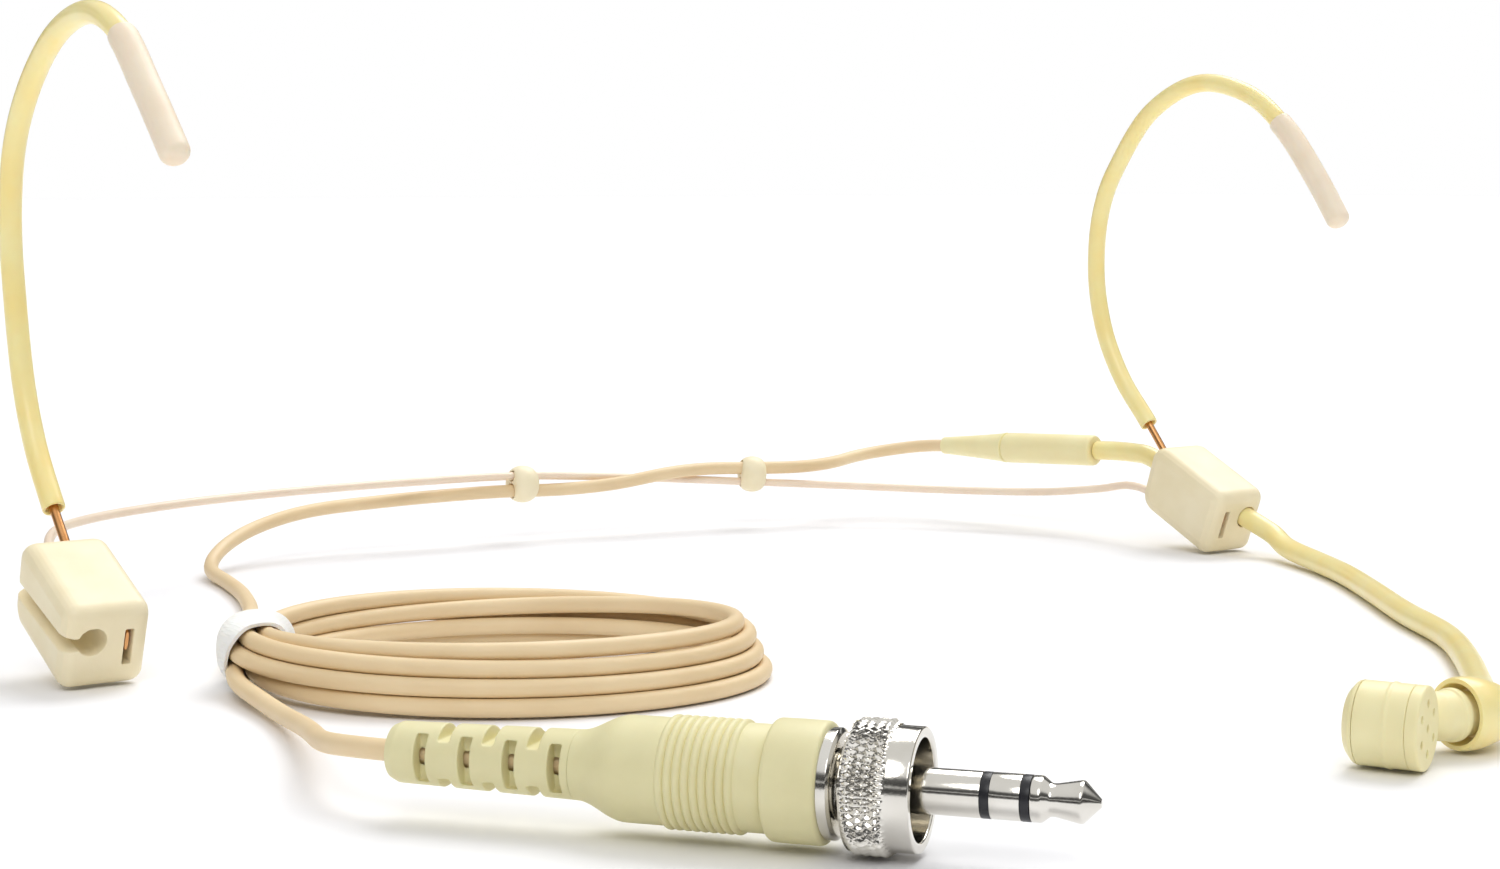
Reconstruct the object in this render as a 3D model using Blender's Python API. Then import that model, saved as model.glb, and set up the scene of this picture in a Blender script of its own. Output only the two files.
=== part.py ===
"""Headworn microphone with two ear hooks, a clip-in boom and a coiled lead to a locking 3.5 mm plug.

Frame: +X from the left clip to the right clip, -Y to the front, +Z up, standing on Z = 0.
The origin is the centre of the headset's own box at its base, the lead and its plug left out.
"""
import math

import bmesh
import bpy
import numpy as np
from mathutils import Matrix, Vector

MM = 0.001
GAP = 0.15 * MM                  # running and assembly clearance
# from the middle between the clips, where the sizes below start, to the middle of the headset's box
ORIGIN_SHIFT = Vector((1.1, -0.06, 0.06)) * MM

# clip blocks, one at each ear; the left side stands a little further out than the right
LEFT_SPREAD = 2.2 * MM
BLOCK_X = 79.0 * MM              # block centre from the middle of the headset
BLOCK_Y = 23.25 * MM
BLOCK_Z = 6.5 * MM
BLOCK_WIDTH = 9.0 * MM
BLOCK_LENGTH = 14.0 * MM
BLOCK_PITCH = math.radians(20.0)     # nose down, back raised
# corners of the side view from the front, lower one round to the front, upper one: y, z and radius in mm
BLOCK_CORNERS = ((-7.0, -4.7, 1.2), (7.0, -3.3, 2.2), (7.4, 5.9, 1.8), (-7.0, 4.5, 1.2))
BLOCK_CORNER_STEPS = 4
BLOCK_EDGE_RADIUS = 0.9 * MM
CHANNEL_X = 80.6 * MM            # boom channel, on the outer side of the block
CHANNEL_RISE = 0.9 * MM          # above the block's centre
CHANNEL_DIAMETER = 3.0 * MM
SLIT_HEIGHT = 1.1 * MM
CLIP_X = 76.8 * MM               # copper clip in its slot, on the inner side
CLIP_SLOT_WIDTH = 0.9 * MM
CLIP_SLOT_HEIGHT = 4.0 * MM
CLIP_SLOT_DEPTH = 6.0 * MM
CLIP_THICKNESS = 0.45 * MM

# ear hooks
HOOK_X = 78.0 * MM
HOOK_WIRE_DIAMETER = 1.0 * MM
HOOK_SLEEVE_DIAMETER = 2.4 * MM
HOOK_TIP_DIAMETER = 3.0 * MM
HOOK_STEM_DIRECTION = Vector((0.0, 0.65, 0.76)).normalized()
HOOK_STEM_START = (25.9, 8.9)    # Y, Z in mm, inside the block
HOOK_SLEEVE_START = 10.0 * MM    # along the wire from its buried end
HOOK_TIP_LENGTH = 17.0 * MM
# Y, Z in mm of the side view of each hook
HOOK_ROUTES = {
    -1: ((33.2, 17.2), (37.4, 22.6), (40.4, 29.2), (42.2, 37.8), (42.9, 46.0), (41.2, 53.8), (36.2, 60.2),
         (28.4, 65.2), (19.6, 66.9), (12.2, 64.6), (5.9, 58.9), (-0.4, 52.6)),
    1: ((33.0, 17.2), (37.6, 22.2), (41.2, 28.2), (43.1, 34.6), (43.4, 40.8), (42.4, 46.6), (39.7, 52.0),
        (33.2, 59.6), (24.2, 63.4), (15.0, 61.8), (8.4, 57.2), (3.2, 51.2), (-1.3, 45.0))}

# neckband
NECKBAND_DIAMETER = 1.1 * MM
NECKBAND_ROUTE = ((-78.2, 26.6, 6.1), (-78.2, 30.3, 7.5), (-78.0, 35.0, 9.1), (-76.8, 43.0, 10.6),
                  (-72.8, 52.0, 11.3), (-65.7, 61.0, 11.1), (-55.2, 69.5, 10.7), (-42.0, 76.5, 10.3),
                  (-26.0, 81.5, 9.9), (-9.0, 84.5, 9.5), (8.0, 85.2, 9.1), (25.0, 83.4, 7.9),
                  (43.0, 78.5, 6.5), (56.0, 71.0, 5.7), (66.0, 60.5, 5.4), (72.5, 49.0, 5.8),
                  (75.3, 40.0, 6.9), (76.0, 34.5, 7.9), (76.0, 30.3, 7.5), (76.0, 26.6, 6.1))

# keeper beads that tie the lead to the neckband
BEAD_DIAMETER = 5.2 * MM
BEAD_LENGTH = 3.6 * MM
BEAD_WIRE_OFFSET = 1.15 * MM     # neckband hole from the bead's centre
BEAD_CABLE_OFFSET = 0.95 * MM    # lead hole, on the other side
BEAD_WIRE_HOLE = 1.7 * MM
BEAD_CABLE_HOLE = 2.2 * MM
BEADS = (("bead_left", (8.0, 85.2, 7.95), (1.0, -0.03, -0.055), 1.0),
         ("bead_right", (43.0, 78.5, 7.65), (0.927, -0.374, -0.058), -1.0))

# boom
BOOM_DIAMETER = 2.7 * MM
BOOM_BORE = 1.7 * MM
BOOM_CORE_DIAMETER = 1.1 * MM
BOOM_STRAIGHT = 12.5 * MM        # from the middle of the channel, each way
BOOM_ROUTE = ((78.9, 8.0, 2.05), (74.6, -2.0, 1.5), (69.6, -11.0, 1.4), (61.5, -22.5, 1.4),
              (52.8, -34.4, 1.4), (44.9, -46.6, 1.4), (35.6, -56.6, 1.5), (25.4, -66.0, 1.9),
              (17.4, -73.2, 2.35), (11.4, -78.7, 2.9), (7.95, -81.1, 3.3))
TAIL_ROUTE = ((80.6, 37.6, 11.9), (80.3, 41.2, 11.9), (79.65, 44.5, 11.75))
TAIL_DIRECTION = Vector((-0.22, 0.975, -0.04)).normalized()
TAIL_BARREL_START = (79.6, 44.8, 11.7)
TAIL_BARREL_LENGTH = 15.5 * MM
TAIL_BARREL_DIAMETER = 4.4 * MM
TAIL_RELIEF_LENGTH = 11.5 * MM
TAIL_RELIEF_TIP = 2.5 * MM

# microphone capsule
CAPSULE_CENTRE = (-5.5, -81.2, 3.82)
CAPSULE_AXIS = Vector((0.416, -0.909, 0.0)).normalized()
CAPSULE_RADIUS = 3.7 * MM
CAPSULE_WALL = 0.7 * MM
CAPSULE_LENGTH = 6.8 * MM
CAPSULE_CAP = 1.1 * MM           # thickness of each end cap
PORT_HOLE_DIAMETER = 0.75 * MM
PORT_HOLE_CIRCLE = 2.2 * MM
PORT_HOLES = 6
NECK_DIRECTION = Vector((0.9955, -0.09, -0.03)).normalized()
NECK_RADIUS = 2.2 * MM
NECK_RIM_RADIUS = 2.4 * MM
NECK_ROOT_RADIUS = 1.2 * MM      # where it grows out of the capsule's side
NECK_LENGTH = 11.4 * MM          # from the capsule's axis to the end inside the cup
NECK_SHIFT = -1.4 * MM          # where the neck's axis crosses the capsule's axis
NECK_BORE = 0.8 * MM
CUP_RADIUS = 3.3 * MM
CUP_WALL = 0.6 * MM
CUP_DEPTH = 1.4 * MM
CUP_NECK_RADIUS = 1.75 * MM

# free lead
LEAD_DIAMETER = 1.8 * MM
RUN_ROUTE = ((73.6, 71.35, 10.6), (72.9, 74.4, 10.4), (70.9, 77.6, 9.9), (67.2, 79.3, 9.4),
             (62.5, 79.1, 9.0), (56.5, 76.7, 8.65), (49.5, 75.9, 8.5), (43.0, 78.5, 8.55),
             (36.5, 80.6, 8.7), (29.5, 80.6, 8.5), (22.0, 82.0, 7.4), (15.5, 84.0, 6.9),
             (11.5, 85.0, 6.85), (8.0, 85.2, 7.0), (4.0, 85.35, 7.15), (-4.0, 86.0, 7.1),
             (-13.0, 87.3, 6.8), (-24.0, 88.0, 6.2), (-33.0, 86.0, 4.7), (-39.5, 82.0, 2.8),
             (-43.0, 77.0, 1.3), (-44.2, 70.0, 0.95), (-47.0, 59.0, 0.95), (-51.5, 47.0, 0.95),
             (-57.5, 35.0, 1.1), (-62.0, 26.5, 1.6), (-65.3, 20.4, 2.25))
LEAD_ROUTE = ((-73.9, -1.6, 1.45), (-74.4, -5.5, 1.25), (-75.6, -11.5, 1.4), (-77.6, -19.0, 2.1),
              (-80.0, -26.0, 2.9), (-82.6, -32.6, 3.8), (-84.3, -38.2, 4.7), (-84.2, -41.8, 5.1),
              (-82.9, -45.35, 5.25))
COIL_CENTRE = (-46.7, -1.1)
COIL_ANGLE = math.radians(-30.3)
COIL_HALF_LENGTH = 24.6 * MM     # to the middle of the winding
COIL_HALF_WIDTH = 18.0 * MM
COIL_HALF_THICK = 3.9 * MM
COIL_HALF_HEIGHT = 3.5 * MM
COIL_PINCH_THICK = 1.0 * MM       # how much slimmer and lower the winding is under the tie
COIL_PINCH_HEIGHT = 0.75 * MM
COIL_PINCH_RISE = 0.25 * MM        # the tie's lower side lifts it
TIE_HALF_ANGLE = math.radians(13.5)
TIE_THICKNESS = 0.7 * MM

# locking 3.5 mm plug, lying on its coupling nut; lengths run from the cable end forwards
PLUG_START = (-82.7, -45.6, 5.25)
PLUG_DIRECTION = Vector((0.586, -0.810, 0.0)).normalized()
RELIEF_LENGTH = 16.0 * MM
RELIEF_REAR_RADIUS = 2.45 * MM
RELIEF_FRONT_RADIUS = 2.75 * MM
GRIP_START = RELIEF_LENGTH + 0.05 * MM
GRIP_RADIUS = 4.15 * MM
FLARE_END = 20.3 * MM
RIB_START = 23.6 * MM
RIB_PITCH = 0.69 * MM
RIB_COUNT = 9
RIB_HEIGHT = 0.27 * MM
GRIP_END = 31.9 * MM
COLLAR_END = 36.3 * MM
COLLAR_RADIUS = 4.7 * MM
FLANGE_END = 37.3 * MM
NUT_START = 37.9 * MM
NUT_KNURL_END = 41.7 * MM
NUT_END = 43.5 * MM
NUT_RADIUS = 5.2 * MM
NUT_FRONT_RADIUS = 4.75 * MM
NUT_BORE = 3.9 * MM
NUT_WEB = 1.2 * MM               # thickness of the nut's inner wall, which turns on the hub
HUB_RADIUS = 2.6 * MM
HUB_LENGTH = 2.6 * MM            # beyond the nut's rear face
WASHER_RADIUS = 3.3 * MM
WASHER_THICKNESS = 0.5 * MM
PIN_RADIUS = 1.75 * MM
PIN_TIP = 56.9 * MM
PIN_SLEEVE_BORE = 1.35 * MM
PIN_RING_BORE = 1.0 * MM
PIN_ROD_RADIUS = 0.7 * MM        # the tip contact's rod, running back through the others
PIN_WAIST_RADIUS = 1.2 * MM
PIN_SHOULDER_RADIUS = 1.62 * MM
PIN_POINT_RADIUS = 0.12 * MM
RING_WIDTH = 0.7 * MM            # width of each insulating ring
FRONT_RING = PIN_TIP - 5.1 * MM  # front edges of the insulating rings
REAR_RING = PIN_TIP - 8.1 * MM

SKIN = (0.93, 0.84, 0.58)
YELLOW = (1.0, 0.88, 0.45)
CREAM = (0.95, 0.88, 0.72)
TAN = (0.86, 0.70, 0.50)
COPPER = (0.72, 0.42, 0.22)
NICKEL = (0.78, 0.77, 0.75)
BLACK = (0.02, 0.02, 0.025)
WHITE = (0.95, 0.95, 0.94)
COLOURS = {"skin_plastic": (SKIN, 0.45, 0.0), "silicone": (YELLOW, 0.35, 0.0), "tip": (CREAM, 0.4, 0.0),
           "cable": (TAN, 0.45, 0.0), "copper": (COPPER, 0.3, 1.0), "nickel": (NICKEL, 0.2, 1.0),
           "insulator": (BLACK, 0.3, 0.0), "tie": (WHITE, 0.6, 0.0), "steel": (NICKEL, 0.35, 1.0),
           "foam": ((0.2, 0.2, 0.2), 0.9, 0.0)}


def vec(point):
    """A point given in millimetres, in metres."""
    return Vector(point) * MM


def material(name):
    if name in bpy.data.materials:
        return bpy.data.materials[name]
    colour, roughness, metallic = COLOURS[name]
    made = bpy.data.materials.new(name)
    made.use_nodes = True
    shader = made.node_tree.nodes["Principled BSDF"]
    shader.inputs["Base Color"].default_value = (*colour, 1.0)
    shader.inputs["Roughness"].default_value = roughness
    shader.inputs["Metallic"].default_value = metallic
    return made


def add_object(name, data, finish, parent=None, matrix=None):
    obj = bpy.data.objects.new(name, data)
    bpy.context.scene.collection.objects.link(obj)
    if finish:
        data.materials.append(material(finish))
    if parent:
        obj.parent = parent
    if matrix:
        obj.matrix_local = matrix
        bpy.context.view_layer.update()
    return obj


def add_mesh(name, verts, faces, finish, parent=None, matrix=None):
    mesh = bpy.data.meshes.new(name)
    mesh.from_pydata([tuple(v) for v in verts], [], faces)
    built = bmesh.new()
    built.from_mesh(mesh)
    bmesh.ops.recalc_face_normals(built, faces=built.faces)
    built.to_mesh(mesh)
    built.free()
    mesh.shade_smooth()
    mesh.set_sharp_from_angle(angle=math.radians(35.0))
    return add_object(name, mesh, finish, parent, matrix)


def add_empty(name, location=(0.0, 0.0, 0.0), rotation=None):
    empty = bpy.data.objects.new(name, None)
    bpy.context.scene.collection.objects.link(empty)
    empty.location = location
    if rotation:
        empty.rotation_euler = rotation.to_euler()
    bpy.context.view_layer.update()
    return empty


def to_local(parent, point):
    return parent.matrix_world.inverted() @ Vector(point)


def frame_along(origin, direction):
    """A matrix whose +Z runs along direction from origin and whose +X stays level."""
    forward = Vector(direction).normalized()
    side = Vector((0.0, 0.0, 1.0)).cross(forward)
    side = side.normalized() if side.length > 1e-6 else Vector((1.0, 0.0, 0.0))
    up = forward.cross(side)
    turn = Matrix((side, up, forward)).transposed().to_4x4()
    return Matrix.Translation(Vector(origin)) @ turn


def smooth_path(route, spacing):
    """Points about spacing apart on a Catmull-Rom curve through route (metres)."""
    knots = [Vector(p) for p in route]
    count = len(knots)
    fine = []
    for i in range(count - 1):
        a = knots[i - 1] if i else 2 * knots[0] - knots[1]
        b, c = knots[i], knots[i + 1]
        d = knots[i + 2] if i + 2 < count else 2 * knots[-1] - knots[-2]
        for step in range(20):
            t = step / 20
            fine.append(0.5 * (2 * b + (c - a) * t + (2 * a - 5 * b + 4 * c - d) * t * t
                               + (3 * b - a - 3 * c + d) * t ** 3))
    fine.append(knots[-1])
    lengths = np.cumsum([0.0] + [(q - p).length for p, q in zip(fine, fine[1:])])
    stations = np.linspace(0.0, lengths[-1], max(2, round(lengths[-1] / spacing) + 1))
    columns = [np.interp(stations, lengths, [p[axis] for p in fine]) for axis in range(3)]
    return [Vector(p) for p in zip(*columns)]


def path_frames(path):
    """A tangent and two level-keeping normals at each point of a path."""
    tangents = []
    for i, point in enumerate(path):
        before = path[max(i - 1, 0)]
        after = path[min(i + 1, len(path) - 1)]
        tangents.append((after - before).normalized())
    normal = tangents[0].orthogonal().normalized()
    frames = []
    for tangent in tangents:
        normal = (normal - tangent * normal.dot(tangent)).normalized()
        frames.append((tangent, normal, tangent.cross(normal)))
    return frames


def circle_points(centre, frame, radius, sides):
    turns = [2 * math.pi * k / sides for k in range(sides)]
    return [centre + frame[1] * (radius * math.cos(a)) + frame[2] * (radius * math.sin(a)) for a in turns]


def loft(rings, closed=False, cap_start=True, cap_end=True):
    """Vertices and faces that skin equal rings of points in order."""
    sides = len(rings[0])
    verts = [point for ring in rings for point in ring]
    faces = []
    spans = len(rings) if closed else len(rings) - 1
    for i in range(spans):
        a = i * sides
        b = ((i + 1) % len(rings)) * sides
        faces += [(a + k, a + (k + 1) % sides, b + (k + 1) % sides, b + k) for k in range(sides)]
    if not closed and cap_start:
        faces.append(tuple(reversed(range(sides))))
    if not closed and cap_end:
        faces.append(tuple(range(len(verts) - sides, len(verts))))
    return verts, faces


def hollow_tube(name, path, radius, bore_radius, finish, parent, sides=10):
    """A tube with a bore, open at both ends, swept along a path."""
    frames = path_frames(path)
    outer = [circle_points(p, f, radius, sides) for p, f in zip(path, frames)]
    inner = [circle_points(p, f, bore_radius, sides) for p, f in zip(path, frames)]
    rings = outer + list(reversed(inner))
    verts, faces = loft(rings, closed=True)
    local = [to_local(parent, v) for v in verts]
    return add_mesh(name, local, faces, finish, parent)


def wire(name, path, diameter, finish, parent=None, resolution=2):
    """A solid round wire or cable along a path, with flat ends."""
    curve = bpy.data.curves.new(name, "CURVE")
    curve.dimensions = "3D"
    curve.bevel_depth = diameter / 2
    curve.bevel_resolution = resolution
    curve.use_fill_caps = True
    spline = curve.splines.new("POLY")
    spline.points.add(len(path) - 1)
    for knot, point in zip(spline.points, path):
        place = to_local(parent, point) if parent else point
        knot.co = (*place, 1.0)
    return add_object(name, curve, finish, parent)


def turned(name, profile, finish, origin, direction, parent=None, sides=24):
    """A solid of revolution: profile is (radius, distance) along direction, from and to the axis."""
    verts = []
    rings = []
    for radius, distance in profile:
        if radius < 1e-9:
            rings.append([len(verts)])
            verts.append(Vector((0.0, 0.0, distance)))
            continue
        rings.append(list(range(len(verts), len(verts) + sides)))
        for k in range(sides):
            angle = 2 * math.pi * (k + 0.5) / sides
            verts.append(Vector((radius * math.cos(angle), radius * math.sin(angle), distance)))
    closed = len(rings[0]) > 1
    pairs = list(zip(rings, rings[1:]))
    if closed:
        pairs.append((rings[-1], rings[0]))
    faces = []
    for a, b in pairs:
        for k in range(sides):
            corners = [a[k % len(a)], a[(k + 1) % len(a)], b[(k + 1) % len(b)], b[k % len(b)]]
            faces.append(tuple(dict.fromkeys(corners)))
    matrix = frame_along(origin, direction)
    if parent:
        matrix = parent.matrix_world.inverted() @ matrix
    return add_mesh(name, verts, faces, finish, parent, matrix)


def box_mesh(name, size, finish, parent, centre=(0.0, 0.0, 0.0)):
    x, y, z = (s / 2 for s in size)
    signs = [(i, j, k) for i in (-1, 1) for j in (-1, 1) for k in (-1, 1)]
    corners = [Vector(centre) + Vector((i * x, j * y, k * z)) for i, j, k in signs]
    faces = [(0, 1, 3, 2), (4, 6, 7, 5), (0, 4, 5, 1), (2, 3, 7, 6), (0, 2, 6, 4), (1, 5, 7, 3)]
    return add_mesh(name, corners, faces, finish, parent)


def cut(target, cutter, operation="DIFFERENCE"):
    cutter.hide_render = True
    cutter.display_type = "WIRE"
    change = target.modifiers.new(operation.lower(), "BOOLEAN")
    change.operation = operation
    change.object = cutter


def cutter_rod(name, start, end, diameter, parent=None, sides=16):
    start, end = Vector(start), Vector(end)
    length = (end - start).length
    profile = ((0.0, 0.0), (diameter / 2, 0.0), (diameter / 2, length), (0.0, length))
    return turned(name, profile, None, start, end - start, parent, sides)


def channel_point(side, along):
    """A point on the axis of a block's boom channel, along mm behind its middle."""
    centre = Vector((side * CHANNEL_X, BLOCK_Y, BLOCK_Z))
    across = Vector((0.0, -math.sin(BLOCK_PITCH), math.cos(BLOCK_PITCH)))
    return centre + across * CHANNEL_RISE + CHANNEL_AXIS * along


CHANNEL_AXIS = Vector((0.0, math.cos(BLOCK_PITCH), math.sin(BLOCK_PITCH)))


def block_outline():
    """The block's side view, higher at the back, with rounded corners."""
    corners = [Vector((y, z)) * MM for y, z, _ in BLOCK_CORNERS]
    points = []
    for i, corner in enumerate(corners):
        radius = BLOCK_CORNERS[i][2] * MM
        to_before = (corners[i - 1] - corner).normalized()
        to_after = (corners[(i + 1) % len(corners)] - corner).normalized()
        half_angle = to_before.angle(to_after) / 2
        centre = corner + (to_before + to_after).normalized() * (radius / math.sin(half_angle))
        reach = radius / math.tan(half_angle)
        start = corner + to_before * reach - centre
        end = corner + to_after * reach - centre
        for k in range(BLOCK_CORNER_STEPS + 1):
            points.append(tuple(centre + start.lerp(end, k / BLOCK_CORNER_STEPS).normalized() * radius))
    return points


def at_ear(side, distance):
    """The x of something at one ear, given its distance from the middle on the right side."""
    return side * distance - (LEFT_SPREAD if side < 0 else 0.0)


def add_block(label, side):
    """A clip block with its boom channel and slit, clip slot and two wire holes."""
    pitch = Matrix.Rotation(BLOCK_PITCH, 4, "X")
    empty = add_empty(f"{label}_block_frame", (at_ear(side, BLOCK_X), BLOCK_Y, BLOCK_Z), pitch)
    name = f"{label}_clip_block"
    outline = block_outline()
    half = BLOCK_WIDTH / 2
    verts = [(x, y, z) for x in (-half, half) for y, z in outline]
    count = len(outline)
    faces = [tuple(range(count)), tuple(range(2 * count - 1, count - 1, -1))]
    faces += [(k, (k + 1) % count, count + (k + 1) % count, count + k) for k in range(count)]
    block = add_mesh(name, verts, faces, "skin_plastic", empty)
    edge = block.modifiers.new("edges", "BEVEL")
    edge.width = BLOCK_EDGE_RADIUS
    edge.segments = 2
    edge.limit_method = "ANGLE"
    edge.angle_limit = math.radians(60.0)
    reach = BLOCK_LENGTH
    x = side * (CHANNEL_X - BLOCK_X)
    z = CHANNEL_RISE
    cut(block, cutter_rod(f"{label}_channel_cut", empty.matrix_world @ Vector((x, -reach, z)),
                          empty.matrix_world @ Vector((x, reach, z)), CHANNEL_DIAMETER, empty, 20))
    slit_size = (BLOCK_WIDTH, 2 * BLOCK_LENGTH, SLIT_HEIGHT)
    slit_centre = (x + side * BLOCK_WIDTH / 2, 0.0, z)
    cut(block, box_mesh(f"{label}_slit_cut", slit_size, None, empty, slit_centre))
    slot_x = side * (CLIP_X - BLOCK_X)
    slot_y = -BLOCK_LENGTH / 2
    slot_size = (CLIP_SLOT_WIDTH, 2 * CLIP_SLOT_DEPTH, CLIP_SLOT_HEIGHT)
    cut(block, box_mesh(f"{label}_slot_cut", slot_size, None, empty, (slot_x, slot_y, 0.0)))
    stem = Vector((at_ear(side, HOOK_X), *[v * MM for v in HOOK_STEM_START]))
    cut(block, cutter_rod(f"{label}_stem_cut", stem - HOOK_STEM_DIRECTION * 2 * GAP,
                          stem + HOOK_STEM_DIRECTION * BLOCK_LENGTH, HOOK_WIRE_DIAMETER + 2 * GAP, empty))
    first, second = (vec(p) for p in (NECKBAND_ROUTE[:2] if side < 0 else NECKBAND_ROUTE[:-3:-1]))
    along = (second - first).normalized()
    cut(block, cutter_rod(f"{label}_neckband_cut", first - along * 2 * GAP,
                          first + along * BLOCK_LENGTH, NECKBAND_DIAMETER + 2 * GAP, empty))
    clip_size = (CLIP_THICKNESS, CLIP_SLOT_DEPTH - 4 * GAP, CLIP_SLOT_HEIGHT - 4 * GAP)
    clip_y = slot_y + CLIP_SLOT_DEPTH / 2
    clip = box_mesh(f"{label}_clip_spring", clip_size, "copper", empty, (slot_x, clip_y, 0.0))
    round_off(clip, CLIP_THICKNESS * 0.4)


def round_off(obj, width, segments=2):
    edge = obj.modifiers.new("rounding", "BEVEL")
    edge.width = width
    edge.segments = segments
    edge.limit_method = "ANGLE"


def hook_path(side):
    stem = Vector((at_ear(side, HOOK_X), *[v * MM for v in HOOK_STEM_START]))
    route = [stem, stem + HOOK_STEM_DIRECTION * 5 * MM]
    route += [Vector((stem.x, y * MM, z * MM)) for y, z in HOOK_ROUTES[side]]
    return smooth_path(route, 3.4 * MM)


def part_of(path, start, end):
    """The stretch of a path between two distances along it."""
    lengths = np.cumsum([0.0] + [(q - p).length for p, q in zip(path, path[1:])])
    inside = [s for s in lengths if start + 0.2 * MM < s < end - 0.2 * MM]
    stations = [start, *inside, end]
    columns = [np.interp(stations, lengths, [p[axis] for p in path]) for axis in range(3)]
    return [Vector(p) for p in zip(*columns)]


def path_length(path):
    return sum((q - p).length for p, q in zip(path, path[1:]))


def add_hook(label, side):
    """An ear hook: a springy wire, its silicone sleeve and a soft closed tip."""
    stem = Vector((at_ear(side, HOOK_X), *[v * MM for v in HOOK_STEM_START]))
    empty = add_empty(f"{label}_hook_axis", stem)
    path = hook_path(side)
    total = path_length(path)
    tip_start = total - HOOK_TIP_LENGTH
    wire(f"{label}_hook_wire", part_of(path, 0.0, total - 3 * MM), HOOK_WIRE_DIAMETER, "copper", empty, 1)
    hollow_tube(f"{label}_hook_sleeve", part_of(path, HOOK_SLEEVE_START, tip_start - 3 * GAP),
                HOOK_SLEEVE_DIAMETER / 2, HOOK_WIRE_DIAMETER / 2 + GAP, "silicone", empty)
    tip_path = part_of(path, tip_start, total)
    frames = path_frames(tip_path)
    radius = HOOK_TIP_DIAMETER / 2
    bore = HOOK_WIRE_DIAMETER / 2 + GAP
    rings = []
    for point, frame in zip(tip_path, frames):
        left = (tip_path[-1] - point).length
        rings.append(circle_points(point, frame, radius if left > radius else radius * 0.8, 10))
    nose = tip_path[-1] + frames[-1][0] * (0.5 * radius)
    rings.append(circle_points(nose, frames[-1], radius * 0.35, 10))
    open_path = part_of(tip_path, 0.0, HOOK_TIP_LENGTH - 2 * MM)
    inner = [circle_points(p, f, bore, 10) for p, f in zip(open_path, path_frames(open_path))]
    rings = list(reversed(inner)) + rings
    verts, faces = loft(rings)
    add_mesh(f"{label}_hook_tip", [to_local(empty, v) for v in verts], faces, "tip", empty)


def add_neckband():
    path = smooth_path([vec(p) for p in NECKBAND_ROUTE], 4.6 * MM)
    wire("neckband_wire", path, NECKBAND_DIAMETER, "steel")


def add_bead(name, centre, along, wire_side):
    """A small oval bead with one hole for the neckband and one for the lead."""
    half, radius = BEAD_LENGTH / 2, BEAD_DIAMETER / 2
    profile = [(0.0, -half)]
    for k in range(7):
        angle = math.pi * (k + 0.5) / 7
        profile.append((radius * (0.55 + 0.45 * math.sin(angle)), -half * math.cos(angle)))
    profile.append((0.0, half))
    bead = turned(name, profile, "skin_plastic", vec(centre), along, None, 20)
    forward = Vector(along).normalized()
    rise = Vector((0.0, 0.0, 1.0))
    reach = forward * BEAD_LENGTH
    for hole, offset, diameter in (("wire", wire_side * BEAD_WIRE_OFFSET, BEAD_WIRE_HOLE),
                                   ("cable", -wire_side * BEAD_CABLE_OFFSET, BEAD_CABLE_HOLE)):
        middle = vec(centre) + rise * offset
        cut(bead, cutter_rod(f"{name}_{hole}_cut", middle - reach, middle + reach, diameter, bead, 14))


def boom_path():
    route = [channel_point(1, -GAP), channel_point(1, -BOOM_STRAIGHT / 2), channel_point(1, -BOOM_STRAIGHT)]
    route += [vec(p) for p in BOOM_ROUTE]
    return smooth_path(route, 4.4 * MM)


def capsule_point(along, neck=0.0):
    return vec(CAPSULE_CENTRE) + CAPSULE_AXIS * along + NECK_DIRECTION * neck


def add_boom():
    """The boom: a sleeved wire from the channel to the cup that holds the capsule's neck."""
    axis = add_empty("boom_roll_axis", channel_point(1, 0.0))
    path = boom_path()
    total = path_length(path)
    hollow_tube("boom_sleeve", path, BOOM_DIAMETER / 2, BOOM_BORE / 2, "silicone", axis)
    wire("boom_core_wire", part_of(path, GAP, total - GAP), BOOM_CORE_DIAMETER, "copper", axis, 1)
    add_cup(axis)


def add_cup(axis):
    """The flared end of the boom: an open cup round the capsule's neck."""
    mouth = capsule_point(NECK_SHIFT, NECK_LENGTH - CUP_DEPTH)
    floor = CUP_DEPTH + 2 * GAP
    inner = CUP_RADIUS - CUP_WALL
    profile = ((0.0, floor), (inner * 0.8, floor), (inner, floor - 0.8 * MM), (inner, 0.0),
               (CUP_RADIUS - 0.2 * MM, 0.0), (CUP_RADIUS, 0.3 * MM), (CUP_RADIUS, floor - 0.6 * MM),
               (CUP_RADIUS * 0.85, floor + 0.5 * MM), (CUP_NECK_RADIUS, floor + 1.4 * MM),
               (0.0, floor + 1.4 * MM))
    turned("boom_end_cup", profile, "silicone", mouth, NECK_DIRECTION, axis, 20)


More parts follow.
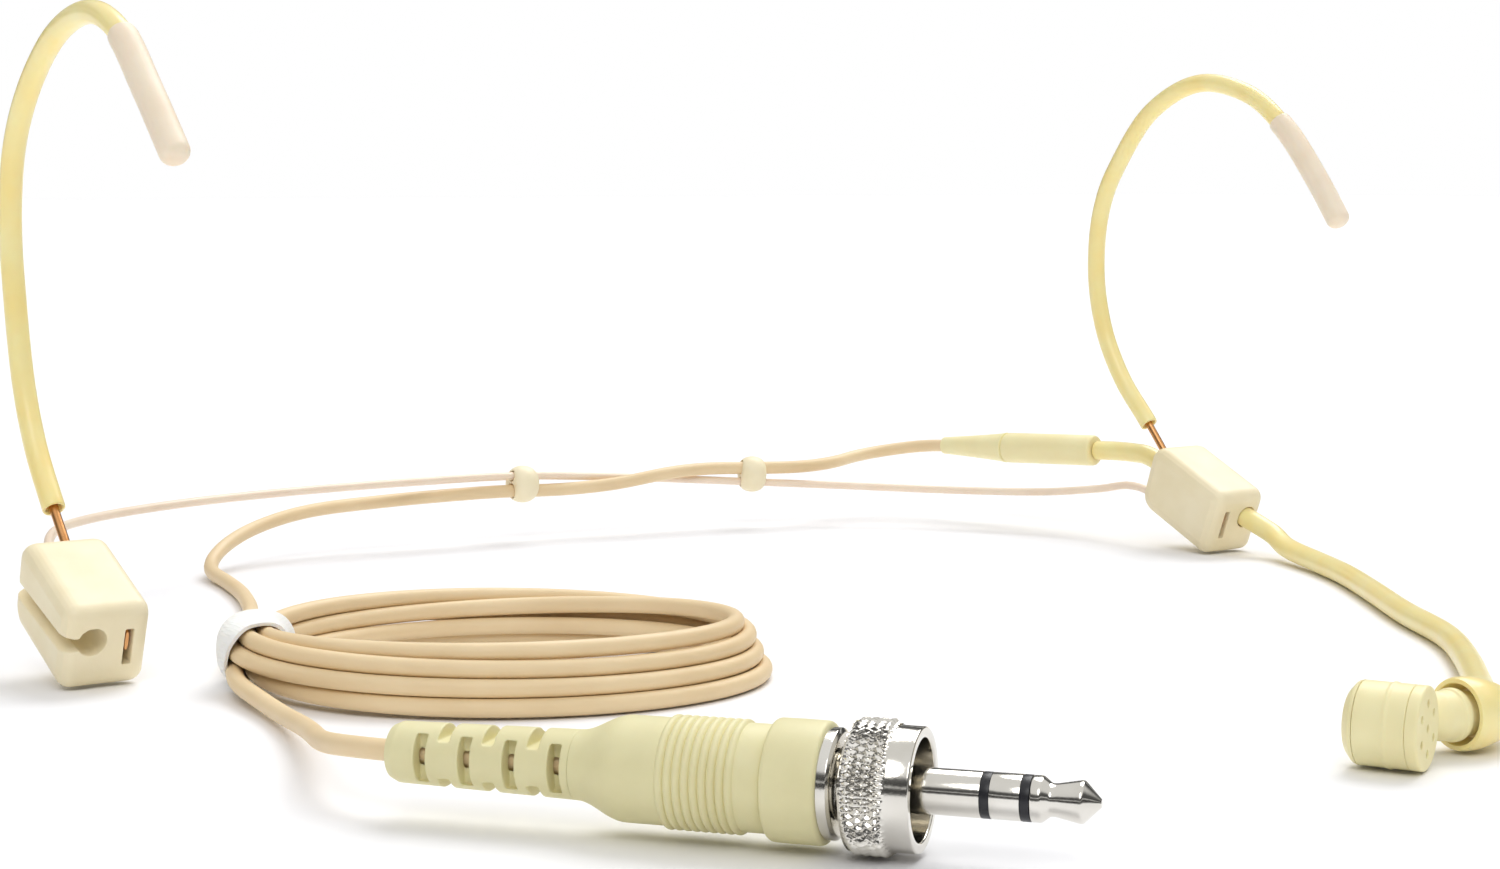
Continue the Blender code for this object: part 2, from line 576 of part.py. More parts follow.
def add_tail():
    """The part of the boom behind the block: tube, barrel and tapered strain relief."""
    route = [channel_point(1, GAP), channel_point(1, BOOM_STRAIGHT / 2), channel_point(1, BOOM_STRAIGHT)]
    route += [vec(p) for p in TAIL_ROUTE]
    axis = add_empty("boom_slide_axis", channel_point(1, 0.0))
    path = smooth_path(route, 3.0 * MM)
    hollow_tube("boom_tail_sleeve", path, BOOM_DIAMETER / 2, BOOM_BORE / 2, "silicone", axis)
    radius = TAIL_BARREL_DIAMETER / 2
    soft = 0.6 * MM
    length = TAIL_BARREL_LENGTH
    profile = ((0.0, 0.0), (radius - soft, 0.0), (radius, soft), (radius, length), (0.0, length))
    start = vec(TAIL_BARREL_START)
    turned("boom_tail_barrel", profile, "skin_plastic", start, TAIL_DIRECTION)
    relief = start + TAIL_DIRECTION * (length + GAP)
    tip = TAIL_RELIEF_TIP / 2
    profile = [(0.0, 0.0), (radius, 0.0)]
    profile += [(radius + (tip - radius) * t ** 0.8, TAIL_RELIEF_LENGTH * t) for t in (0.25, 0.5, 0.75, 1.0)]
    profile.append((0.0, TAIL_RELIEF_LENGTH))
    turned("boom_tail_relief", profile, "skin_plastic", relief, TAIL_DIRECTION)


def add_capsule():
    """The capsule: a barrel with a side neck, two end caps, a screen and the microphone element."""
    half = CAPSULE_LENGTH / 2
    axis = add_empty("capsule_axis", capsule_point(NECK_SHIFT, NECK_LENGTH))
    inner = CAPSULE_RADIUS - CAPSULE_WALL
    tube = 2 * (half - CAPSULE_CAP - GAP)
    profile = ((inner, 0.0), (CAPSULE_RADIUS, 0.0), (CAPSULE_RADIUS, tube), (inner, tube))
    body = turned("capsule_body", profile, "skin_plastic", capsule_point(-tube / 2), CAPSULE_AXIS, axis, 32)
    reach = NECK_LENGTH - CAPSULE_RADIUS * 0.87
    step = NECK_LENGTH - CUP_DEPTH - 0.9 * MM - CAPSULE_RADIUS * 0.87
    profile = ((0.0, 0.0), (NECK_ROOT_RADIUS, 0.0), (NECK_ROOT_RADIUS, 0.35 * step),
               (NECK_RADIUS, 0.75 * step), (NECK_RADIUS, step), (NECK_RIM_RADIUS, step),
               (NECK_RIM_RADIUS, step + 0.7 * MM), (NECK_RADIUS * 0.9, step + 0.7 * MM),
               (NECK_RADIUS * 0.9, reach), (0.0, reach))
    neck = turned("capsule_neck_form", profile, "skin_plastic",
                  capsule_point(NECK_SHIFT, CAPSULE_RADIUS * 0.87), NECK_DIRECTION, axis, 20)
    cut(body, neck, "UNION")
    cut(body, cutter_rod("capsule_neck_bore", capsule_point(NECK_SHIFT, CAPSULE_RADIUS * 0.3),
                         capsule_point(NECK_SHIFT, 2 * NECK_LENGTH), 2 * NECK_BORE, axis, 12))
    bevel = 0.9 * MM
    lip = CAPSULE_CAP
    profile = ((0.0, 0.0), (CAPSULE_RADIUS - bevel, 0.0), (CAPSULE_RADIUS - 0.15 * MM, bevel * 0.75),
               (CAPSULE_RADIUS, lip), (0.0, lip))
    turned("capsule_front_cap", profile, "skin_plastic", capsule_point(-half), CAPSULE_AXIS, axis, 32)
    profile = ((0.0, 0.0), (CAPSULE_RADIUS, 0.0), (CAPSULE_RADIUS, lip - 0.4 * MM),
               (CAPSULE_RADIUS - 0.12 * MM, lip - 0.12 * MM), (CAPSULE_RADIUS - 0.4 * MM, lip), (0.0, lip))
    back = capsule_point(half - lip)
    port = turned("capsule_port_cap", profile, "skin_plastic", back, CAPSULE_AXIS, axis, 32)
    side = CAPSULE_AXIS.cross(Vector((0.0, 0.0, 1.0)))
    rise = Vector((0.0, 0.0, 1.0))
    spots = [Vector((0.0, 0.0, 0.0))]
    for k in range(PORT_HOLES):
        angle = math.pi / 2 + 2 * math.pi * k / PORT_HOLES
        spots.append((side * math.cos(angle) + rise * math.sin(angle)) * PORT_HOLE_CIRCLE)
    for k, spot in enumerate(spots):
        start = capsule_point(half - 2 * lip) + spot
        end = start + CAPSULE_AXIS * 3 * lip
        cut(port, cutter_rod(f"port_cut_{k}", start, end, PORT_HOLE_DIAMETER, axis, 10))
    screen = ((0.0, 0.0), (inner - 2 * GAP, 0.0), (inner - 2 * GAP, 0.3 * MM), (0.0, 0.3 * MM))
    turned("capsule_screen", screen, "foam", capsule_point(half - lip - 0.5 * MM), CAPSULE_AXIS, axis)
    element = ((0.0, 0.0), (2.0 * MM, 0.0), (2.0 * MM, 3.2 * MM), (0.0, 3.2 * MM))
    turned("capsule_element", element, "steel", capsule_point(-1.8 * MM), CAPSULE_AXIS, axis)


def coil_frame(angle):
    """Centre and outward direction of the winding at an angle round the coil, and how far it is pinched."""
    turn = Matrix.Rotation(COIL_ANGLE, 3, "Z")
    flat = Vector((-COIL_HALF_LENGTH * math.cos(angle), COIL_HALF_WIDTH * math.sin(angle), 0.0))
    normal = Vector((-math.cos(angle) / COIL_HALF_LENGTH, math.sin(angle) / COIL_HALF_WIDTH, 0.0))
    pinch = max(0.0, math.cos(angle)) ** 4
    centre = vec((*COIL_CENTRE, 0.0)) + turn @ flat
    return centre, turn @ normal.normalized(), pinch


def coil_section(angle, grow, sides=12):
    """The winding's rounded section at an angle, grown by grow."""
    centre, outward, pinch = coil_frame(angle)
    half_thick = COIL_HALF_THICK - COIL_PINCH_THICK * pinch + grow
    half_height = COIL_HALF_HEIGHT - COIL_PINCH_HEIGHT * pinch + grow
    middle = centre + Vector((0.0, 0.0, COIL_HALF_HEIGHT + 0.05 * MM + COIL_PINCH_RISE * pinch))
    points = []
    for k in range(sides):
        turn = 2 * math.pi * (k + 0.5) / sides
        across = math.copysign(abs(math.cos(turn)) ** 0.7, math.cos(turn))
        level = math.copysign(abs(math.sin(turn)) ** 0.7, math.sin(turn))
        points.append(middle + outward * (half_thick * across) + Vector((0.0, 0.0, half_height * level)))
    return points


def add_coil():
    """The lead's coil as one ring, pinched where a soft tie holds it."""
    steps = 44
    rings = [coil_section(2 * math.pi * (k + 0.5) / steps, 0.0) for k in range(steps)]
    verts, faces = loft(rings, closed=True)
    add_mesh("cable_coil", verts, faces, "cable")
    angles = [TIE_HALF_ANGLE * t for t in (-1.0, -0.5, 0.0, 0.5, 1.0)]
    outer = [coil_section(a, 2 * GAP + TIE_THICKNESS) for a in angles]
    inner = [coil_section(a, 2 * GAP) for a in reversed(angles)]
    verts, faces = loft(outer + inner, closed=True)
    add_mesh("cable_tie", verts, faces, "tie")


def add_lead():
    wire("cable_run", smooth_path([vec(p) for p in RUN_ROUTE], 4.4 * MM), LEAD_DIAMETER, "cable")
    wire("cable_lead", smooth_path([vec(p) for p in LEAD_ROUTE], 3.6 * MM), LEAD_DIAMETER, "cable")


def plug_piece(name, profile, finish, sides=24, parent=None):
    return turned(name, profile, finish, vec(PLUG_START), PLUG_DIRECTION, parent, sides)


def add_strain_relief():
    """The plug's flexible rear: a soft tube with slots that alternate between its sides."""
    rear, front = RELIEF_REAR_RADIUS, RELIEF_FRONT_RADIUS
    bore = LEAD_DIAMETER / 2 + 2 * GAP
    soft = 0.7 * MM
    profile = ((bore, 2 * GAP), (rear - soft, 0.0), (rear - 0.2 * MM, 0.25 * MM), (rear, soft),
               (front, RELIEF_LENGTH), (bore, RELIEF_LENGTH))
    relief = plug_piece("plug_strain_relief", profile, "skin_plastic")
    side = PLUG_DIRECTION.cross(Vector((0.0, 0.0, 1.0)))
    rise = Vector((0.0, 0.0, 1.0))
    slots = [(3.4 + 3.8 * k, side) for k in range(4)] + [(5.3 + 3.8 * k, rise) for k in range(3)]
    for number, (distance, facing) in enumerate(slots):
        for sign in (1, -1):
            centre = vec(PLUG_START) + PLUG_DIRECTION * distance * MM + facing * (sign * 2.9 * MM)
            holder = add_empty(f"relief_slot_{number}_{'in' if sign > 0 else 'out'}", centre,
                               frame_along(centre, PLUG_DIRECTION))
            size = (2.0 * MM, 4.4 * MM, 1.1 * MM) if facing is side else (4.4 * MM, 2.0 * MM, 1.1 * MM)
            cut(relief, box_mesh(f"relief_cut_{number}_{'in' if sign > 0 else 'out'}", size, None, holder))


def add_grip():
    """The plug's body: a flare, a ribbed band and a smooth end, then a separate collar."""
    profile = [(0.0, GRIP_START), (RELIEF_FRONT_RADIUS, GRIP_START)]
    flare = FLARE_END - GRIP_START
    rise = GRIP_RADIUS - RELIEF_FRONT_RADIUS
    for t in (0.2, 0.4, 0.6, 0.8, 1.0):
        radius = RELIEF_FRONT_RADIUS + rise * (0.5 - 0.5 * math.cos(math.pi * t))
        profile.append((radius, GRIP_START + flare * t))
    for k in range(RIB_COUNT):
        start = RIB_START + k * RIB_PITCH
        profile += [(GRIP_RADIUS, start), (GRIP_RADIUS + RIB_HEIGHT, start + 0.15 * MM),
                    (GRIP_RADIUS + RIB_HEIGHT, start + 0.45 * MM), (GRIP_RADIUS, start + 0.6 * MM)]
    profile += [(GRIP_RADIUS, GRIP_END), (0.0, GRIP_END)]
    plug_piece("plug_grip", profile, "skin_plastic", 20)
    start = GRIP_END + 0.05 * MM
    soft = 0.3 * MM
    profile = ((0.0, start), (COLLAR_RADIUS - soft, start), (COLLAR_RADIUS, start + soft),
               (COLLAR_RADIUS, COLLAR_END - soft), (COLLAR_RADIUS - soft, COLLAR_END), (0.0, COLLAR_END))
    plug_piece("plug_collar", profile, "skin_plastic", 32)


def add_nut():
    """The knurled coupling nut, free to turn on the flanged hub and held by a snap ring."""
    start = COLLAR_END + 0.05 * MM
    bore = PIN_RADIUS + 0.05 * MM
    hub_end = NUT_START + HUB_LENGTH
    profile = ((bore, start), (GRIP_RADIUS, start), (GRIP_RADIUS, FLANGE_END), (HUB_RADIUS, FLANGE_END),
               (HUB_RADIUS, hub_end), (bore, hub_end))
    plug_piece("plug_flange", profile, "nickel")
    axis = add_empty("coupling_nut_axis", vec(PLUG_START) + PLUG_DIRECTION * NUT_START)
    rim = 0.3 * MM
    soft = 0.25 * MM
    bore = HUB_RADIUS + GAP
    web_end = NUT_START + NUT_WEB
    profile = ((bore, NUT_START), (WASHER_RADIUS, NUT_START), (NUT_RADIUS - 2 * soft, NUT_START + rim),
               (NUT_RADIUS, NUT_START + rim + soft), (NUT_RADIUS, NUT_KNURL_END - soft),
               (NUT_FRONT_RADIUS, NUT_KNURL_END), (NUT_FRONT_RADIUS, NUT_END - soft),
               (NUT_FRONT_RADIUS - soft, NUT_END), (NUT_BORE, NUT_END), (NUT_BORE, web_end), (bore, web_end))
    plug_piece("coupling_nut", profile, "nickel", 40, axis)
    ring = web_end + GAP
    bore = HUB_RADIUS + 0.05 * MM
    profile = ((bore, ring), (WASHER_RADIUS, ring), (WASHER_RADIUS, ring + WASHER_THICKNESS),
               (bore, ring + WASHER_THICKNESS))
    plug_piece("nut_snap_ring", profile, "steel")


def pin_ring(name, bore, start, end, finish):
    """One of the pin's hollow contacts or rings."""
    plug_piece(name, ((bore, start), (PIN_RADIUS, start), (PIN_RADIUS, end), (bore, end)), finish)


def add_pin():
    """The 3.5 mm pin: sleeve, ring and tip contacts, kept apart by two black rings."""
    fit = 0.02 * MM
    start = COLLAR_END + 0.1 * MM
    pin_ring("sleeve_contact", PIN_SLEEVE_BORE, start, REAR_RING - RING_WIDTH - fit, "nickel")
    pin_ring("rear_insulator", PIN_ROD_RADIUS + fit, REAR_RING - RING_WIDTH, REAR_RING, "insulator")
    pin_ring("ring_contact", PIN_RING_BORE, REAR_RING + fit, FRONT_RING - RING_WIDTH - fit, "nickel")
    pin_ring("front_insulator", PIN_ROD_RADIUS + fit, FRONT_RING - RING_WIDTH, FRONT_RING, "insulator")
    waist = FRONT_RING + 1.9 * MM
    shoulder = PIN_TIP - 1.35 * MM
    plug_piece("tip_contact", ((0.0, start), (PIN_ROD_RADIUS, start), (PIN_ROD_RADIUS, FRONT_RING + fit),
                               (PIN_RADIUS, FRONT_RING + fit), (PIN_RADIUS, FRONT_RING + 0.5 * MM),
                               (PIN_WAIST_RADIUS, waist - 0.6 * MM), (PIN_WAIST_RADIUS, waist),
                               (PIN_SHOULDER_RADIUS, shoulder),
                               (PIN_SHOULDER_RADIUS - GAP, shoulder + 0.25 * MM),
                               (PIN_POINT_RADIUS, PIN_TIP), (0.0, PIN_TIP)), "nickel")


def build():
    for obj in list(bpy.data.objects):
        bpy.data.objects.remove(obj)
    for label, side in (("left", -1), ("right", 1)):
        add_block(label, side)
        add_hook(label, side)
    add_neckband()
    for name, centre, along, wire_side in BEADS:
        add_bead(name, centre, along, wire_side)
    add_boom()
    add_tail()
    add_capsule()
    add_lead()
    add_coil()
    add_strain_relief()
    add_grip()
    add_nut()
    add_pin()
    for obj in bpy.data.objects:
        if not obj.parent:
            obj.location += ORIGIN_SHIFT


build()
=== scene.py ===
"""Studio view of a headworn microphone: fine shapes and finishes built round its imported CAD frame.

Shapes are made in millimetres from the middle between the two clips, and moved to the frame at the end.
"""
import math

import bmesh
import bpy
import numpy as np
from mathutils import Matrix, Vector


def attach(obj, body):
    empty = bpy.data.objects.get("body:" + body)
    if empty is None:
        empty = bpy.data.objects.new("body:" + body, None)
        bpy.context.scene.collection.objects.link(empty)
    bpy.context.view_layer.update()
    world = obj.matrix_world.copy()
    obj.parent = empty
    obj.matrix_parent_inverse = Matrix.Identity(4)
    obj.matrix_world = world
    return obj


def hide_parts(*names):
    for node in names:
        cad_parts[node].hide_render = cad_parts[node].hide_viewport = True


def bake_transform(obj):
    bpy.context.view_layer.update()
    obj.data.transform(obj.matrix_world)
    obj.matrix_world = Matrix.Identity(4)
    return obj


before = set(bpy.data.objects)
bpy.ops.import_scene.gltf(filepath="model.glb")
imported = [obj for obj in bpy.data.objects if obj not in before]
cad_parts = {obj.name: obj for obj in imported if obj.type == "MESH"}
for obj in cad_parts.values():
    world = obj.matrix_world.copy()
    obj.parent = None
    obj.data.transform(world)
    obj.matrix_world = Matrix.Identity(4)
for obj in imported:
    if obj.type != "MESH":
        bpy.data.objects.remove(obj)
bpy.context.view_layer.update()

FRAME_SHIFT = (1.1, -0.06, 0.06)
TO_FRAME = Matrix.Scale(0.001, 4) @ Matrix.Translation(FRAME_SHIFT)
UP = Vector((0.0, 0.0, 1.0))
GAP = 0.15                       # between pieces that move on each other

# clip blocks; the left side stands a little further out than the right
LEFT_SPREAD = 2.2
BLOCK_CENTRE = (79.0, 23.25, 6.5)
BLOCK_WIDTH = 9.0
BLOCK_LENGTH = 14.0
BLOCK_PITCH = math.radians(20.0)
# corners of the side view from the front, lower one round to the front, upper one: y, z and radius
BLOCK_CORNERS = ((-7.0, -4.7, 1.5), (7.0, -3.3, 2.5), (7.4, 5.9, 2.0), (-7.0, 4.5, 1.6))
BLOCK_EDGE_RADIUS = 1.5
CHANNEL_OFFSET = 1.6             # outward from the block's middle
CHANNEL_RISE = 0.9
CHANNEL_RADIUS = 1.5
SLIT_HEIGHT = 1.0
SLIT_MOUTH = 2.2                 # the slit flares to this height at the block's side
CLIP_OFFSET = -2.2
CLIP_SLOT = (0.9, 6.0, 4.0)      # width, depth, height
SPRING_LENGTH = 5.0
SPRING_SECTION = (0.24, 1.3)     # half its width and height
SPRING_BOW = 0.06
SPRING_RISE = 0.4

# ear hooks
HOOK_X = 78.0
HOOK_STEM = (25.9, 8.9)
HOOK_STEM_DIRECTION = Vector((0.0, 0.65, 0.76)).normalized()
HOOK_WIRE_RADIUS = 0.5
HOOK_SLEEVE_RADIUS = 1.2
HOOK_SLEEVE_START = 10.0
HOOK_TIP_RADIUS = 1.5
HOOK_TIP_LENGTH = 17.0
HOOK_ROUTES = {
    -1: ((33.2, 17.2), (37.4, 22.6), (40.4, 29.2), (42.2, 37.8), (42.9, 46.0), (41.2, 53.8), (36.2, 60.2),
         (28.4, 65.2), (19.6, 66.9), (12.2, 64.6), (5.9, 58.9), (-0.4, 52.6)),
    1: ((33.0, 17.2), (37.6, 22.2), (41.2, 28.2), (43.1, 34.6), (43.4, 40.8), (42.4, 46.6), (39.7, 52.0),
        (33.2, 59.6), (24.2, 63.4), (15.0, 61.8), (8.4, 57.2), (3.2, 51.2), (-1.3, 45.0))}

# neckband and its keeper beads
NECKBAND_RADIUS = 0.55
NECKBAND_ROUTE = ((-78.2, 26.6, 6.1), (-78.2, 30.3, 7.5), (-78.0, 35.0, 9.1), (-76.8, 43.0, 10.6),
                  (-72.8, 52.0, 11.3), (-65.7, 61.0, 11.1), (-55.2, 69.5, 10.7), (-42.0, 76.5, 10.3),
                  (-26.0, 81.5, 9.9), (-9.0, 84.5, 9.5), (8.0, 85.2, 9.1), (25.0, 83.4, 7.9),
                  (43.0, 78.5, 6.5), (56.0, 71.0, 5.7), (66.0, 60.5, 5.4), (72.5, 49.0, 5.8),
                  (75.3, 40.0, 6.9), (76.0, 34.5, 7.9), (76.0, 30.3, 7.5), (76.0, 26.6, 6.1))
BEAD_RADIUS = 2.6
BEAD_LENGTH = 3.6
BEAD_WIRE_OFFSET = 1.15
BEAD_CABLE_OFFSET = 0.95
BEAD_WIRE_HOLE = 0.75
BEAD_CABLE_HOLE = 1.02
BEADS = (("left_bead", "bead_left", (8.0, 85.2, 7.95), (1.0, -0.03, -0.055), 1.0),
         ("right_bead", "bead_right", (43.0, 78.5, 7.65), (0.927, -0.374, -0.058), -1.0))

# boom
BOOM_RADIUS = 1.35
BOOM_BORE = 0.85
BOOM_STRAIGHT = 12.5
BOOM_ROUTE = ((78.9, 8.0, 2.05), (74.6, -2.0, 1.5), (69.6, -11.0, 1.4), (61.5, -22.5, 1.4),
              (52.8, -34.4, 1.4), (44.9, -46.6, 1.4), (35.6, -56.6, 1.5), (25.4, -66.0, 1.9),
              (17.4, -73.2, 2.35), (11.4, -78.7, 2.9), (7.95, -81.1, 3.3))
TAIL_ROUTE = ((80.6, 37.6, 11.9), (80.3, 41.2, 11.9), (79.65, 44.5, 11.75))
TAIL_DIRECTION = Vector((-0.22, 0.975, -0.04)).normalized()
BARREL_START = Vector((79.6, 44.8, 11.7))
BARREL_LENGTH = 15.5
BARREL_RADIUS = 2.2
RELIEF_TAPER_LENGTH = 11.5
RELIEF_TIP_RADIUS = 1.25

# capsule
CAPSULE_CENTRE = Vector((-5.5, -81.2, 3.82))
CAPSULE_AXIS = Vector((0.416, -0.909, 0.0)).normalized()
CAPSULE_RADIUS = 3.7
CAPSULE_WALL = 0.7
CAPSULE_HALF = 3.4
CAPSULE_CAP = 1.1
SEAM_PLACE = 0.45
PORT_RADIUS = 0.375
PORT_CIRCLE = 2.2
PORTS = 6                        # round the one in the middle
NECK_DIRECTION = Vector((0.9955, -0.09, -0.03)).normalized()
NECK_SHIFT = -1.4
NECK_LENGTH = 11.4
NECK_RADIUS = 2.2
NECK_ROOT = 0.87                 # where it starts, in capsule radii
NECK_ROOT_RADIUS = 1.2
NECK_RIM_RADIUS = 2.4
NECK_RIM_WIDTH = 0.7
NECK_RIM_SETBACK = 0.9           # the rim starts this far outside the cup
CUP_RADIUS = 3.3
CUP_WALL = 0.6
CUP_DEPTH = 1.4
CUP_STRAIGHT = 2.6               # the cup's axis is straight for this far from its mouth
CUP_BLEND = 4.0                  # and follows the boom from here on

# free lead
CORD_RADIUS = 0.9
RUN_ROUTE = ((73.6, 71.35, 10.6), (72.9, 74.4, 10.4), (70.9, 77.6, 9.9), (67.2, 79.3, 9.4),
             (62.5, 79.1, 9.0), (56.5, 76.7, 8.65), (49.5, 75.9, 8.5), (43.0, 78.5, 8.55),
             (36.5, 80.6, 8.7), (29.5, 80.6, 8.5), (22.0, 82.0, 7.4), (15.5, 84.0, 6.9),
             (11.5, 85.0, 6.85), (8.0, 85.2, 7.0), (4.0, 85.35, 7.15), (-4.0, 86.0, 7.1),
             (-13.0, 87.3, 6.8), (-24.0, 88.0, 6.2), (-33.0, 86.0, 4.7), (-39.5, 82.0, 2.8),
             (-43.0, 77.0, 1.3), (-44.2, 70.0, 0.95), (-47.0, 59.0, 0.95), (-51.5, 47.0, 0.95),
             (-57.5, 35.0, 1.1), (-62.0, 26.5, 1.6), (-65.3, 20.4, 2.25))
LEAD_ROUTE = ((-73.9, -1.6, 1.45), (-74.4, -5.5, 1.25), (-75.6, -11.5, 1.4), (-77.6, -19.0, 2.1),
              (-80.0, -26.0, 2.9), (-82.6, -32.6, 3.8), (-84.3, -38.2, 4.7), (-84.2, -41.8, 5.1),
              (-82.9, -45.35, 5.25))
COIL_CENTRE = (-46.7, -1.1)
COIL_ANGLE = math.radians(-30.3)
COIL_HALF_LENGTH = 24.6
COIL_HALF_WIDTH = 18.0
COIL_STEPS = 96                  # stations in each turn
# where each turn lies at the tie, the front, the far end and the back: (outward, height)
COIL_LAY = (((0.93, 3.78), (2.2, 2.65), (1.7, 2.5), (0.4, 3.6)),
            ((0.9, 5.4), (1.2, 4.2), (0.7, 4.1), (0.3, 5.9)),
            ((-1.0, 5.4), (0.3, 6.15), (-0.1, 5.9), (-1.4, 4.6)),
            ((-0.93, 3.78), (-0.3, 2.75), (-0.4, 2.55), (-1.9, 2.75)),
            ((-1.86, 2.15), (0.3, 0.95), (0.6, 0.95), (-1.2, 0.95)),
            ((0.0, 2.15), (3.0, 0.95), (2.7, 0.95), (0.9, 1.0)))
COIL_LEAVES_TIE = (1.86, 2.15)
COIL_ENTRY = (22.5, (4.75, 2.25))    # degrees short of the tie, and where the run comes in
COIL_EXIT = (37.5, (4.87, 1.45))     # degrees past the tie, and where the lead goes out
STRAND_SPACING = 1.85
TIE_HALF_ANGLE = math.radians(12.5)
TIE_SECTION = (3.0, 2.85)
TIE_HEIGHT = 3.78
TIE_THICKNESS = 0.6
TIE_SQUARENESS = 0.8             # 1 would be an ellipse, less is squarer
TIE_ROOM = ((-2.0, 2.0), (2.1, 5.5))    # the strands' centres inside the tie: outward, height
LAY_PASSES = 500
LAY_EASE = 0.3

# plug, along its axis from the cable end forwards
PLUG_START = Vector((-82.7, -45.6, 5.25))
PLUG_DIRECTION = Vector((0.586, -0.810, 0.0)).normalized()
RELIEF_LENGTH = 16.0
RELIEF_REAR_RADIUS = 2.45
RELIEF_FRONT_RADIUS = 2.75
RELIEF_BORE = 1.2
RELIEF_SLOT_PITCH = 3.8
RELIEF_SLOT_WIDTH = 1.0
# how many, where the first one is, half their span, and depth from the axis
RELIEF_SIDE_SLOTS = (4, 3.4, 1.9, 1.05)
RELIEF_TOP_SLOTS = (3, 5.3, 3.2, 1.45)
GRIP_RADIUS = 4.15
FLARE_END = 20.3
RIB_START = 23.6
RIB_PITCH = 0.69
RIB_COUNT = 9
RIB_HEIGHT = 0.27
GRIP_END = 31.9
COLLAR_END = 36.3
COLLAR_RADIUS = 4.7
FLANGE_END = 37.3
HUB_RADIUS = 2.6
NUT_START = 37.9
NUT_KNURL_END = 41.7
NUT_END = 43.5
NUT_RADIUS = 5.2
NUT_FRONT_RADIUS = 4.75
NUT_BORE = 3.9
KNURLS = 50                      # diamonds round the nut
KNURL_PITCH = 1.4                # and along it
KNURL_DEPTH = 0.3
PIN_RADIUS = 1.75
PIN_TIP = 56.9
RING_WIDTH = 0.7
FRONT_RING = PIN_TIP - 5.1
REAR_RING = PIN_TIP - 8.1
PIN_STEM_RADIUS = 0.7            # the tip contact's rod inside the other contacts
PIN_WAIST_RADIUS = 1.24
PIN_SHOULDER_RADIUS = 1.62

# studio
CAMERA_PLACE = (-0.1783, -0.22706, 0.05056)    # metres
CAMERA_HEADING = (0.588, 0.809)
CAMERA_DIP = math.radians(5.6)
CAMERA_LENS = 62.4
FLOOR_HALF = 6.0                 # metres
SKY_STRENGTH = 0.86
# brightness by height: two dark bands that the metal mirrors, with a bright strip between them
SKY_BANDS = ((0.0, 0.6), (0.08, 0.07), (0.2, 0.07), (0.25, 0.9), (0.3, 0.07), (0.46, 0.12), (0.6, 0.95),
             (1.0, 1.0))
# direction towards each light, strength, how wide it looks in degrees
KEY_LIGHT = ((0.62, 0.35, 0.95), 1.5, 40.0)
FILL_LIGHT = ((-0.5, -0.7, 0.9), 0.65, 30.0)


# ---- shapes

def smooth_path(route, spacing):
    """Points about spacing apart on a Catmull-Rom curve through route."""
    knots = [Vector(p) for p in route]
    fine = []
    for i in range(len(knots) - 1):
        a = knots[i - 1] if i else 2 * knots[0] - knots[1]
        b, c = knots[i], knots[i + 1]
        d = knots[i + 2] if i + 2 < len(knots) else 2 * knots[-1] - knots[-2]
        for step in range(20):
            t = step / 20
            fine.append(0.5 * (2 * b + (c - a) * t + (2 * a - 5 * b + 4 * c - d) * t * t
                               + (3 * b - a - 3 * c + d) * t ** 3))
    fine.append(knots[-1])
    return evenly(fine, spacing)


def distances(path):
    return np.cumsum([0.0] + [(q - p).length for p, q in zip(path, path[1:])])


def at_distances(path, stations):
    along = distances(path)
    columns = [np.interp(stations, along, [p[axis] for p in path]) for axis in range(3)]
    return [Vector(p) for p in zip(*columns)]


def evenly(path, spacing):
    total = distances(path)[-1]
    return at_distances(path, np.linspace(0.0, total, max(2, round(total / spacing) + 1)))


def relaxed(path, times):
    """A path with its bends eased, its two ends left in place."""
    for _ in range(times):
        middle = [(a + 2 * b + c) / 4 for a, b, c in zip(path, path[1:], path[2:])]
        path = [path[0], *middle, path[-1]]
    return path


def part_of(path, start, end):
    """The stretch of a path between two distances along it."""
    steps = max(2, round((end - start) / 0.8))
    return at_distances(path, np.linspace(start, end, steps + 1))


def path_frames(path):
    """A tangent and two normals, carried along without twist, at each point of a path."""
    frames = []
    normal = None
    for i in range(len(path)):
        tangent = (path[min(i + 1, len(path) - 1)] - path[max(i - 1, 0)]).normalized()
        normal = tangent.orthogonal() if normal is None else normal
        normal = (normal - tangent * normal.dot(tangent)).normalized()
        frames.append((tangent, normal, tangent.cross(normal)))
    return frames


def circle(centre, frame_axes, radius, sides):
    turns = [2 * math.pi * k / sides for k in range(sides)]
    return [centre + frame_axes[1] * (radius * math.cos(a)) + frame_axes[2] * (radius * math.sin(a))
            for a in turns]


def rectangle(half_width, half_height, middle=0.0):
    left, right = middle - half_width, middle + half_width
    return (left, -half_height), (right, -half_height), (right, half_height), (left, half_height)


def squared(value, power):
    """A cosine or sine pushed outwards, which makes an ellipse squarer."""
    return math.copysign(abs(value) ** power, value)


def mesh_of(verts, faces):
    """A closed mesh with its faces turned outwards."""
    mesh = bpy.data.meshes.new("shape")
    mesh.from_pydata([tuple(v) for v in verts], [], faces)
    built = bmesh.new()
    built.from_mesh(mesh)
    bmesh.ops.recalc_face_normals(built, faces=built.faces)
    built.to_mesh(mesh)
    built.free()
    return mesh


